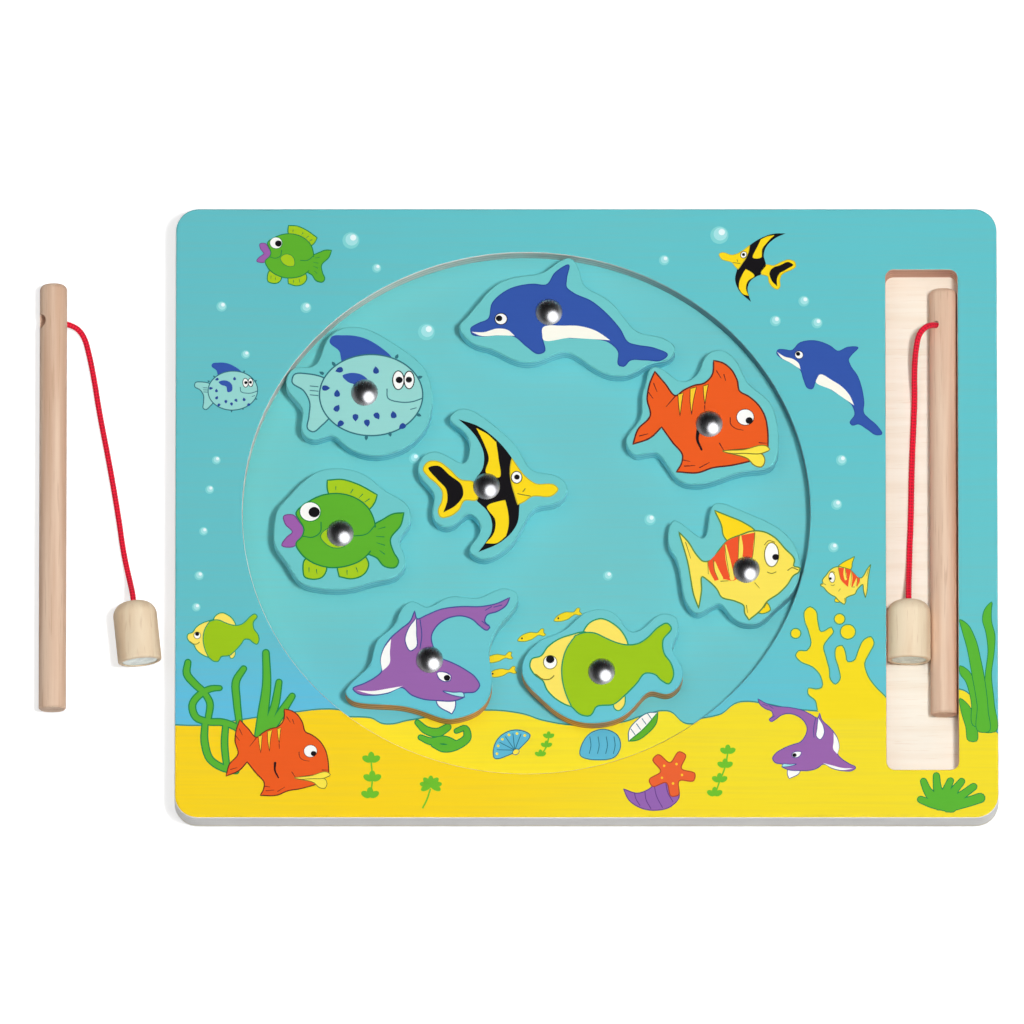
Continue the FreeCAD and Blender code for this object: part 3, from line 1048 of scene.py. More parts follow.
    def drop(self, middle: Point, length: float, wide: float, turn: float, ink: Ink, layer: float) -> None:
        """A drop-shaped spot with its point at one end.

        Args:
            middle: Its middle in figure units.
            length: Its length.
            wide: Its width.
            turn: Its turn in degrees.
            ink: Its ink.
            layer: How many fields it lies above.
        """
        tip, shoulder = length / 2, (-length * 0.4, wide * 0.42)
        outline = [(tip, 0), (tip, 0), (0, wide / 2), shoulder, (-tip, 0), (shoulder[0], -shoulder[1]),
                   (0, -wide / 2)]
        placed = [moved(middle, turned(along, up, turn)) for along, up in outline]
        self.fill(smooth(placed, True, self.spacing * 0.7), ink, layer)

    def eye(self, middle: Point, wide: float, high: float, look: Point, pupil: float, layer: float,
            edge: Ink = Ink.BLACK, width: float = 0.7) -> None:
        """An eye: a white oval with a dark pupil.

        Args:
            middle: Its middle in figure units.
            wide: Its half width.
            high: Its half height.
            look: How far its pupil lies from its middle.
            pupil: The pupil's radius.
            layer: How many fields it lies above.
            edge: The edge line's ink.
            width: The edge line's width as a share of the pen's line.
        """
        self.oval(middle, wide, high, Ink.WHITE, layer, edge, width=width)
        self.oval(moved(middle, look), pupil, pupil, Ink.BLACK, layer + 2)


class Creature:
    """A printed sea creature, in units of a hundredth of the pool's half sizes round its stud."""

    def draw(self, pen: Pen) -> None:
        """Draws the creature.

        Args:
            pen: A pen at the creature's place.
        """
        raise NotImplementedError


class Puffer(Creature):
    """A round pale fish with dark spots, a high blue back fin and two eyes."""

    def draw(self, pen: Pen) -> None:
        """Draws the creature.

        Args:
            pen: A pen at the creature's place.
        """
        pen.shape([(-14, 5.5), (-19.5, 7.2), (-25, 6.8), (-25.6, 4.2), (-21.5, 0.8), (-19.4, -3.5),
                   (-19.6, -9), (-19.8, -14.2), (-18.4, -15), (-15, -12.5), (-12, -9)], Ink.PUFFER_AQUA, 0,
                  Ink.PUFFER_EDGE)
        pen.shape([(-7.6, 11), (-9, 16), (-12.4, 19.8), (-11.8, 21.4), (-7.4, 22.1), (-1, 21.3), (5, 18),
                   (9.5, 13.5), (0, 13)], Ink.FIN_BLUE, 2)
        pen.oval((2.3, -0.9), 18.2, 15.6, Ink.PUFFER_AQUA, 3, Ink.PUFFER_EDGE)
        for x, y, turn in ((-9, 8.7, 200), (-13.6, 1.8, 0), (-9.7, -0.2, 90), (-9.7, -5.9, 60),
                           (-8.6, -12, 230), (0.9, -11.7, -80), (4.4, -9, -60), (4, 8.7, 95),
                           (13.2, -13, 220), (10.2, -8.4, 100), (-3.2, -9.6, 270)):
            pen.drop((x, y), 2.9, 2.0, turn, Ink.SPOT_BLUE, 5)
        for x, y, turn in ((11.4, 14.0, 65), (19.6, 6.0, 20), (19.2, -8.6, -25), (-15.2, 7.6, 150),
                           (-11, 11.2, 125), (9.0, -16.0, -75), (0.6, -17.4, -95)):
            pen.drop((x, y), 1.9, 1.2, turn, Ink.PUFFER_EDGE, 5)
        pen.shape([(-7.8, 6.6), (-5.6, 7.5), (-1.2, 7), (1.6, 4.4), (1, -1.6), (-1.4, -2), (-2.4, 2.6),
                   (-6, 4.2)], Ink.FIN_BLUE, 5)
        for y in (2.6, 0.9, -0.8):
            pen.ink_line([(-19.2, y), (-16.4, y - 0.3)], Ink.PUFFER_EDGE, 5, 0.6)
        pen.ink_line([(7.9, 1.4), (8.2, -2.0), (12.5, -3.6), (17, -3.4), (20.2, -2.2)], Ink.PUFFER_EDGE, 5,
                     0.8)
        pen.ink_line([(16.2, -6.4), (18.2, -5.8)], Ink.PUFFER_EDGE, 5, 0.6)
        pen.eye((11.9, 4.8), 2.0, 3.6, (0.3, 0.1), 1.25, 6)
        pen.eye((15.7, 4.9), 1.8, 3.4, (-0.1, 0.1), 1.15, 6)


class Dolphin(Creature):
    """A leaping blue dolphin with a pale belly."""

    def draw(self, pen: Pen) -> None:
        """Draws the creature.

        Args:
            pen: A pen at the creature's place.
        """
        pen.shape([(7, 18.2), (2.4, 15.4), (-1, 10.5), (-5.5, 10.8), (-14.2, 8.7), (-20, 3.4),
                   (-21.6, -2.8), (-25, -4.4), (-27.6, -6.4), (-27.2, -8.4), (-24, -9.2), (-19, -8.8),
                   (-12.3, -9.3), (-7.6, -13.4), (-3.6, -16), (-1.8, -15.4), (-2.1, -9.7), (8, -9.9),
                   (16, -10.2), (21, -11.5), (24.4, -15), (24.9, -20.6), (26.2, -20.9), (28.5, -18.6),
                   (34, -18.4), (39.8, -18.4), (41.8, -16.6), (37, -13.8), (31.5, -12.8), (28.2, -11.8),
                   (25, -6.4), (20.5, -0.8), (14.8, 4.3), (8.6, 7.4), (6.2, 9.6), (6.2, 12.8)],
                  Ink.DOLPHIN_BLUE, 0, Ink.DOLPHIN_EDGE, 0.7)
        pen.shape([(-2.3, -9.5), (-2.4, -6.3), (5.3, -5.2), (10.4, -5.3), (16.4, -7.1), (21.6, -10.8),
                   (21.6, -10.8), (17.4, -10.5), (7.4, -9.9), (-2.3, -9.7)], Ink.BELLY_CREAM, 2)
        pen.shape([(-27.3, -7.6), (-27.3, -7.6), (-24.4, -9.0), (-18, -8.9), (-12.1, -9.1), (-12.1, -9.1),
                   (-14.6, -6.8), (-18, -6.3), (-23, -7.7)], Ink.BELLY_CREAM, 2)
        pen.eye((-16.9, -2.6), 2.2, 2.2, (-0.7, 0.2), 1.15, 3, width=0.6)


class OrangeFish(Creature):
    """A plump orange fish with three yellow stripes and yellow lips."""

    def draw(self, pen: Pen) -> None:
        """Draws the creature.

        Args:
            pen: A pen at the creature's place.
        """
        edge = Ink.ORANGE_EDGE
        pen.shape([(7.6, -11.3), (13.5, -11.2), (18.9, -11.9), (19.6, -14.2), (18.4, -16.5), (16.0, -16.0),
                   (13.6, -13.4)], Ink.LIP_YELLOW, 4, Ink.FACE_EDGE, 0.8)
        pen.shape([(-19.2, 20.2), (-19.2, 20.2), (-15.6, 15.6), (-11.6, 10.9), (-9.1, 12.9), (-5.1, 14.9),
                   (-1.9, 15.6), (0.9, 18.6), (1.6, 24.4), (1.6, 24.4), (4.6, 23.6), (7.4, 21.4), (9.8, 17),
                   (10.9, 12.4), (13.5, 10.9), (17.1, 7.6), (19.6, 3), (20.6, -2.5), (20.7, -8.6),
                   (20.7, -8.6), (13, -9.6), (5.4, -10.6), (11, -12.2), (15.6, -14), (15.6, -14),
                   (7.9, -15.9), (0.6, -17), (-3.4, -18.6), (-11.6, -18.4), (-11.6, -18.4), (-9.9, -15.4),
                   (-9.4, -12.4), (-13, -7), (-16.8, -1.2), (-16.8, -1.2), (-20.6, -5.2), (-26.9, -7.8),
                   (-26.9, -7.8), (-25.2, -2.2), (-20.8, 3.2), (-21.9, 9.6), (-21, 15.4)], Ink.ORANGE, 2,
                  edge, 1.1)
        pen.shape([(4.8, -10.6), (12, -9.9), (20.6, -8.8), (21.4, -9.7), (19.6, -10.9), (12, -11.3),
                   (7, -11.2)], Ink.LIP_YELLOW, 6, Ink.FACE_EDGE, 0.7)
        for top, wide, tip in (((-10.1, 11.6), 0.95, (-10.3, 2.9)), ((-5.6, 13.9), 1.1, (-6.2, 3.5)),
                               ((-1.2, 14.9), 0.9, (-1.5, 7.2))):
            left, right = (top[0] - wide, top[1] - 0.3), (top[0] + wide, top[1] + 0.3)
            pen.shape([left, left, right, right, (tip[0] + wide * 0.5, (top[1] + tip[1]) / 2), tip, tip,
                       (tip[0] - wide * 0.5, (top[1] + tip[1]) / 2)], Ink.STRIPE_YELLOW, 4, edge, 0.5)
        pen.marks([[(-19.6, 15.6), (-18.4, 12.4)], [(-21.6, 12.4), (-19.8, 9.8)],
                   [(-12, 10.6), (-15.2, 6.6)], [(-24.6, -4.6), (-21.6, -3.8)], [(2.6, 20.4), (4.2, 17.6)],
                   [(5.2, 19), (5.8, 16.6)], [(-9.6, -13.8), (-6.8, -14.4)], [(-8.8, -16.2), (-5, -16)],
                   [(-3.4, -16.8), (0, -14.8)], [(3.6, -7.4), (5.2, -10.4)], [(17.6, -7.2), (20.2, -7.4)],
                   [(-1.6, 7), (-1.6, 4.6)]], edge, 4, 0.75, 0.5)
        pen.ink_line([(-3.9, -2.5), (-4.2, -6), (-2.7, -9.9)], Ink.BLACK, 4, 2.6, 0.5)
        pen.ink_line([(7.4, 2.4), (7.6, -0.2), (9.4, -1.8), (12, -2.4)], edge, 4, 0.7, 0.5)
        pen.eye((12.7, 2.6), 3.1, 3.1, (1.4, -1.3), 1.3, 5, edge, 0.5)


class AngelFish(Creature):
    """A tall yellow and black banded fish with a long snout."""

    def draw(self, pen: Pen) -> None:
        """Draws the creature.

        Args:
            pen: A pen at the creature's place.
        """
        edge = Ink.ANGEL_EDGE
        pen.shape([(-9.9, 25.8), (-9.9, 25.8), (-3.2, 23.3), (3.1, 18.4), (8.3, 11.9), (11.4, 6.4),
                   (11.6, -7.2), (10.6, -14.7), (8.3, -18.3), (5.2, -21.2), (-2.9, -25.2), (-2.9, -25.2),
                   (-0.4, -21.6), (1.8, -17.1), (1.6, -12.3), (-0.4, -8.6), (-3.6, -5.2), (-4.4, 1.6),
                   (-1.3, 7.2), (-0.9, 12), (-2.8, 17.6), (-5.9, 22)], Ink.BLACK, 0)
        pen.shape([(-4.6, 1.7), (-9.1, 2.6), (-13.2, 6.7), (-17.3, 9.6), (-20.8, 9.3), (-22.3, 6.7),
                   (-20.6, 3.9), (-17.4, 0.9), (-15.6, -1.8), (-15.6, -5.2), (-17, -9.8), (-16.2, -11.7),
                   (-13.2, -11.5), (-9.8, -9), (-7.8, -5.4), (-3.6, -5.2)], Ink.ANGEL_YELLOW, 2, edge, 0.8)
        pen.shape([(-20.4, 7.3), (-17.4, 8), (-13, 4.3), (-8.7, 0.3), (-8.2, -3), (-10.4, -6.8), (-15.2, -10),
                   (-15.2, -10), (-13.8, -5.2), (-14.2, -1.2), (-17.4, 2.8)], Ink.BLACK, 4)
        pen.shape([(-3.6, 22.4), (-3.6, 22.4), (0.2, 20.2), (3.4, 17), (3.4, 17), (4.2, 11), (4.4, 3.4),
                   (-0.2, 5.2), (0.8, 10.7), (-0.8, 16.2)], Ink.ANGEL_YELLOW, 2)
        pen.shape([(0.2, -7.6), (4.6, -5.6), (6.6, -5.2), (6.6, -5.2), (7.6, -9.8), (7.8, -15), (6.9, -19),
                   (6.9, -19), (3.4, -21.8), (-0.3, -21.8), (-0.3, -21.8), (2.6, -17.8), (3.1, -13)],
                  Ink.ANGEL_YELLOW, 2)
        pen.shape([(8.9, 10.9), (8.9, 10.9), (10.9, 7.6), (13.6, 3.9), (17.2, 1.1), (24.2, 0.3),
                   (25.2, -0.9), (23.4, -3.3), (15.6, -4), (13, -6), (11, -6.9), (11, -6.9), (9.9, -3),
                   (8.7, 1.8), (8.3, 6.7)], Ink.ANGEL_YELLOW, 2, edge, 0.7)
        pen.ink_line([(-4.2, 0.9), (-1.6, -4.6), (3.6, -5), (8.2, -2.6)], Ink.BLACK, 3, 1.6)
        pen.ink_line([(15.4, -3.7), (12.4, -3.1), (11, -2.8)], Ink.FACE_EDGE, 4, 0.7)
        pen.ink_line([(12.8, -2), (13.6, -0.9)], Ink.FACE_EDGE, 4, 0.7)
        pen.eye((10.6, 3.5), 1.9, 2.3, (0.1, 0.1), 1.0, 4, Ink.BLACK, 0.6)


class GreenFish(Creature):
    """A round green fish with big purple lips."""

    def draw(self, pen: Pen) -> None:
        """Draws the creature.

        Args:
            pen: A pen at the creature's place.
        """
        edge = Ink.GREEN_EDGE
        pen.shape([(-4.6, 20.4), (-4.6, 20.4), (0.5, 20.7), (5.8, 19), (13, 14.8), (13, 14.8), (12.2, 12),
                   (9.2, 8.4), (0, 10), (-3.6, 14), (-4.6, 17)], Ink.FIN_LIME, 0, edge)
        pen.shape([(-12.4, -10), (-13.1, -14), (-12.6, -16.6), (-9.6, -17.6), (-6.4, -16.8), (-4.8, -13),
                   (-8, -10)], Ink.FIN_LIME, 0, edge)
        pen.shape([(-1, -12.4), (-0.4, -16.6), (-0.4, -16.6), (4.4, -17.4), (8.4, -15.6), (10, -11.6),
                   (8.6, -8.6)], Ink.FIN_LIME, 0, edge)
        pen.shape([(9.6, 1.6), (14.8, 5.2), (19, 7.6), (22.4, 7.9), (22.4, 7.9), (21.4, 3.4), (17.6, -2.6),
                   (18.7, -7), (20.5, -11.2), (19.6, -12.9), (15.6, -12.7), (12.8, -9.4), (9, -7.4)],
                  Ink.GREEN, 2, edge)
        pen.shape([(-20, 6.6), (-16.7, 7.1), (-14.6, 4.6), (-12.6, 0.8), (-13.8, -2.7), (-16.8, -5.2),
                   (-20.6, -4.7), (-18.8, -1.4), (-16.9, 0.4), (-19.4, 3.6)], Ink.LIP_PURPLE, 2,
                  Ink.LIP_EDGE, 0.7)
        pen.shape([(-15.6, 7.3), (-11.4, 12), (-6.4, 14.6), (-1.6, 15.3), (4, 14.2), (9.6, 10), (12, 4.6),
                   (12.4, 0), (11.4, -5.4), (8, -9.8), (2, -12.6), (-3.6, -13.1), (-9.4, -11.4),
                   (-13.6, -8), (-15.6, -3.8), (-13.4, -1), (-12.8, 1.4), (-14.4, 5)], Ink.GREEN, 4, edge)
        pen.shape([(9.4, 0.6), (11.8, 1.8), (14.4, 3.6), (14.4, -7.6), (10.6, -6.6), (9.2, -3)], Ink.GREEN, 6)
        pen.shape([(-7, -1.2), (-5.4, -3.8), (-2.2, -5.6), (1.4, -5), (0, 1), (-4, 2)], Ink.FIN_LIME, 6,
                  edge, 0.6)
        pen.ink_line([(-13.2, -1.1), (-9.7, -1.5), (-7.1, 0.4), (-6.8, 4.2)], edge, 6, 0.8)
        pen.ink_line([(5, -1), (9.2, -0.3), (12.2, 3)], edge, 7, 0.8)
        pen.marks([[(-1.6, 17.9), (-1.6, 16.6)], [(4.4, 16.8), (3.6, 15.4)], [(7.8, 15), (6.6, 13.6)],
                   [(10.2, 13.2), (8.6, 12)], [(15.8, 2.4), (13.2, 1.6)], [(15.4, -1.4), (12.6, -1.2)],
                   [(15.6, -4.6), (12.8, -3.6)], [(15.6, -8), (13.8, -6.6)], [(-11, -13.2), (-11, -15)],
                   [(-8.4, -13.8), (-8.2, -15.4)], [(2.4, -14.2), (2.4, -16)], [(5.6, -13.2), (6.2, -15)]],
                  edge, 8, 0.7, 0.5)
        pen.eye((-10.6, 8.3), 3.7, 3.7, (1.4, -0.2), 2.0, 6, edge, 0.6)


class StripedFish(Creature):
    """A yellow fish with red bands and a big eye."""

    def draw(self, pen: Pen) -> None:
        """Draws the creature.

        Args:
            pen: A pen at the creature's place.
        """
        edge = Ink.STRIPED_EDGE
        pen.shape([(-6.6, 11), (-8.2, 13.6), (-8.6, 16.4), (-11.2, 22.8), (-11.2, 22.8), (-6.2, 20.6),
                   (-1, 18.2), (3.2, 14.4), (0, 11)], Ink.STRIPED_FIN, 0, edge)
        pen.shape([(6.6, -12), (8.4, -15.4), (5.4, -16.8), (2.4, -15)], Ink.STRIPED_FIN, 0, edge, 0.8)
        pen.shape([(-23.8, 14.6), (-23.8, 14.6), (-20.4, 10.6), (-17.4, 5.6), (-15, 3.2), (-12.6, 3.6),
                   (-9.6, 7.6), (-6.4, 11.4), (-2, 13.4), (2.2, 14.9), (6.2, 14.6), (10, 12.4), (13.4, 8.4),
                   (17, 3.4), (16.6, 1.6), (18.9, 0.6), (18.6, -0.7), (16.6, -2.2), (14.5, -5.6),
                   (11.1, -9.3), (7.4, -12), (5.4, -15), (0.9, -19.2), (0.9, -19.2), (-0.7, -16.4),
                   (-0.9, -13.8), (-4, -12), (-8.8, -10.4), (-10.4, -7.4), (-13.6, -4), (-15.4, -2.6),
                   (-15.8, -8), (-16.8, -14.8), (-16.8, -14.8), (-18.6, -9.4), (-19.6, -3.6), (-20.4, 1.6)],
                  Ink.STRIPED_YELLOW, 2, edge)
        pen.shape([(-13.6, 2.8), (-13.6, 2.8), (-10, 6.8), (-6.5, 11.2), (-2, 13.1), (3, 14.3), (3, 14.3),
                   (2.4, 9), (2, 3.6), (-1, -1), (-4.6, -4.2), (-8, -3.6), (-11.2, -4.2), (-11.2, -4.2),
                   (-13, -0.4)], Ink.STRIPE_RED, 4)
        for gap in ([(-2, 12.9, 1.0), (-1.9, 8.6, 3.0), (-2.2, 3.4, 2.6)],
                    [(-7.3, 9.4, 1.0), (-6.6, 4.6, 3.0), (-5, -3.2, 3.4)],
                    [(-11.1, 3, 0.8), (-10.6, 0.6, 2.4), (-9, -3.4, 3.4)]):
            pen.stroke([(u, v, pen.line * share) for u, v, share in gap], Ink.STRIPED_YELLOW, 5)
        pen.marks([[(3, 14.3), (2.7, 9.4), (2, 3.6)], [(-7.6, 9.6), (-7.2, 6), (-5.9, -2.6)],
                   [(-11.6, 3.6), (-11.4, 0.6), (-10, -3.4)], [(-2.7, 13.1), (-2.7, 8.6), (-2.9, 4)],
                   [(-21.4, 10.6), (-19.6, 4.4)], [(-13.6, 3.4), (-13.4, -1.6)], [(0, -13.6), (0.4, -16.4)],
                   [(7.2, -12.6), (6.2, -14.6)], [(-9, -4.4), (-6.4, -4.2)], [(3, -5), (4.6, -7)]],
                  Ink.FACE_EDGE, 6, 0.6, 0.6)
        pen.ink_line([(14.6, -0.2), (16, 0.8), (18.2, 0)], Ink.FACE_EDGE, 6, 0.7)
        pen.ink_line([(6.4, 9.6), (7.8, 11.2), (10, 10.6)], Ink.FACE_EDGE, 6, 0.6)
        pen.ink_line([(7.4, -0.9), (9, -1.4), (10.4, -0.8)], Ink.FACE_EDGE, 6, 0.6)
        pen.eye((8.9, 5.8), 2.5, 4.6, (1.4, -0.9), 1.2, 7, Ink.FACE_EDGE, 0.7)


class Shark(Creature):
    """A diving purple shark with pale fin undersides."""

    def draw(self, pen: Pen) -> None:
        """Draws the creature.

        Args:
            pen: A pen at the creature's place.
        """
        edge = Ink.SHARK_EDGE
        pen.shape([(2.2, -14.6), (2.6, -16.8), (7.8, -20.7), (7.8, -20.7), (8.9, -18.6), (8.8, -14.6)],
                  Ink.WHITE, 0, edge, 0.8)
        pen.shape([(28.2, 23.9), (28.2, 23.9), (23.6, 21.6), (18.6, 20.5), (10.7, 20.4), (4, 19.4),
                   (-1.4, 17), (-4.4, 15.7), (-5.3, 18.8), (-5.3, 18.8), (-7, 14.6), (-10.2, 11.8),
                   (-13.5, 8.6), (-15.9, 5), (-17.2, -0.4), (-16.8, -4.2), (-19.3, -6.8), (-23, -9),
                   (-27, -11.2), (-25.6, -12.7), (-19.7, -13.5), (-14.7, -12.7), (-9.7, -10.6),
                   (-6.4, -13.4), (-2.4, -15), (3, -15.6), (9, -15.6), (12.4, -14.3), (12.4, -14.3),
                   (10.6, -13), (12.6, -12.6), (16, -12.2), (17.6, -9.9), (16.3, -7), (12.3, -3.6),
                   (7.3, -0.8), (3.8, 0.8), (1.1, 5.4), (0.6, 9), (2.4, 12.9), (6.5, 16), (11.5, 16.8),
                   (15.2, 15.4), (17.6, 13), (20.4, 11.4), (21.2, 12.4), (19.4, 14.6), (20, 17),
                   (23.9, 18.6), (27, 21)], Ink.SHARK_PURPLE, 2, edge, 0.85)
        pen.shape([(-4.7, 16.2), (-4.7, 16.2), (-4.6, 10), (-4.9, 4.6), (-6.6, 3.4), (-8.6, 7),
                   (-7.6, 11.8)], Ink.WHITE, 4, edge, 0.7)
        pen.shape([(-13.6, 8), (-13.6, 8), (-14, 3.2), (-14.2, -1.6), (-16.6, -4.2), (-16.6, -4.2),
                   (-17.2, -0.4), (-16, 4.4)], Ink.WHITE, 4)
        pen.shape([(-25.6, -11.7), (-25.6, -11.7), (-19.7, -13.2), (-14.7, -12.5), (-9.4, -10), (-9.4, -10),
                   (-14.7, -11), (-19.7, -11.9)], Ink.WHITE, 4)
        pen.ink_line([(-3.4, 15.4), (-2.8, 9), (-3.4, 4.4)], edge, 5, 0.7)
        pen.shape([(4.6, -11.9), (8.2, -12.4), (12, -12.8), (12.2, -14), (9.4, -13.9)], Ink.BUBBLE_PALE, 4,
                  edge, 0.7)
        pen.shape([(2.6, -4.9), (3.4, -7.3), (5.2, -8.3), (7.2, -7.9), (7.5, -6.2), (5.6, -4.8)], Ink.WHITE,
                  6, edge, 0.7)
        pen.oval((6.1, -6.9), 1.15, 1.15, Ink.BLACK, 8)
        pen.marks([[(21.8, 20.4), (19.6, 19)], [(25.4, 21), (22.6, 20.2)], [(20.6, 13), (18.4, 14.8)]],
                  edge, 5, 0.6)


class LimeFish(Creature):
    """A lime-green fish with a yellow face and back fin."""

    def draw(self, pen: Pen) -> None:
        """Draws the creature.

        Args:
            pen: A pen at the creature's place.
        """
        edge = Ink.LIME_EDGE
        pen.shape([(-6.6, 14.4), (-4.3, 18.6), (-0.3, 20.3), (4.2, 18.3), (7.6, 14.6), (9.2, 9.8), (2, 8)],
                  Ink.LIME_FACE, 0, edge)
        pen.shape([(4.4, -11.6), (4.4, -14), (5.8, -15), (7.8, -13.2), (7.9, -8.6)], Ink.LIME_FACE, 0, edge,
                  0.8)
        pen.shape([(-6, 15.2), (-10.4, 14.2), (-14.8, 12.6), (-19, 9.4), (-21.4, 6), (-24.6, 4.8), (-25.2, 2),
                   (-23.7, -1), (-20.6, -3.6), (-19.4, -6.6), (-15.6, -10.8), (-10, -13.4), (-2, -8), (0, 8)],
                  Ink.LIME_FACE, 2, edge)
        pen.shape([(-9.2, 13.8), (-9.2, 13.8), (-6.3, 14.9), (-2.3, 14.7), (1.3, 12.9), (5.8, 10.9),
                   (9.4, 10.2), (13.4, 11), (16.6, 13.4), (20, 17), (23.2, 18.5), (24.5, 17), (21.6, 12),
                   (22, 7), (24.5, 3), (25.2, -2), (23.6, -4.7), (21.1, -3.4), (18.7, -1), (15.4, -0.6),
                   (12.4, -4.4), (8.2, -9), (4.4, -12.4), (-2.2, -13.8), (-3, -15.6), (-4, -16.8),
                   (-7, -16.6), (-10.6, -13.4), (-10.6, -13.4), (-12.4, -9), (-13.8, -3.2), (-13.9, 2.8),
                   (-12.4, 8.6)], Ink.LIME, 4, edge)
        pen.ink_line([(-23.2, -1), (-20.4, -3), (-18, -2.8), (-16.8, -1.6)], Ink.FACE_EDGE, 5, 0.8)
        pen.eye((-18.1, 3.6), 2.4, 2.6, (0, 1.1), 1.5, 5, Ink.FACE_EDGE, 0.6)


@dataclass(frozen=True)
class Pool:
    """The oval pool, whose half sizes place the loose fish."""

    middle_x: float = -21.953 * MM
    half_width: float = 103.5 * MM
    half_depth: float = 97.5 * MM

    def units(self) -> Point:
        """A hundredth of its half width and of its half depth."""
        return self.half_width / 100, self.half_depth / 100

    def pen(self, sheet: PrintSheet, across: float, along: float, line: float) -> Pen:
        """A pen at a place given in hundredths of the pool's half sizes.

        Args:
            sheet: The sheet that it draws on.
            across: The place across the pool.
            along: The place along the pool.
            line: The width of an edge line in millimetres.

        Returns:
            The pen.
        """
        unit_x, unit_y = self.units()
        return Pen(sheet, self.middle_x + across * unit_x, along * unit_y, unit_x, unit_y, line=line)


CREATURES: dict[str, tuple[type[Creature], Point]] = {
    "puffer_fish": (Puffer, (-57, 46)),
    "dolphin": (Dolphin, (8, 77)),
    "orange_fish": (OrangeFish, (64.5, 34)),
    "angel_fish": (AngelFish, (-14, 10)),
    "green_fish": (GreenFish, (-65.5, -8)),
    "striped_fish": (StripedFish, (77.5, -22)),
    "shark": (Shark, (-34, -56.5)),
    "lime_fish": (LimeFish, (26.5, -61)),
}


@dataclass
class FishPrints:
    """The creature printed on each loose fish."""

    pool: Pool = field(default_factory=Pool)
    line: float = 0.52

    def build(self, finishes: Finishes) -> None:
        """Prints every fish.

        Args:
            finishes: The game's materials.
        """
        for name, (creature, (across, along)) in CREATURES.items():
            sheet = PrintSheet(f"{name}_print", BOARD_TOP, "printed_fish")
            creature().draw(self.pool.pen(sheet, across, along, self.line))
            sheet.build(finishes)


@dataclass(frozen=True)
class SmallCopy:
    """A creature printed again, smaller, on the frame."""

    creature: type[Creature]
    x: float
    y: float
    scale: float
    turn: float = 0.0
    mirrored: bool = False


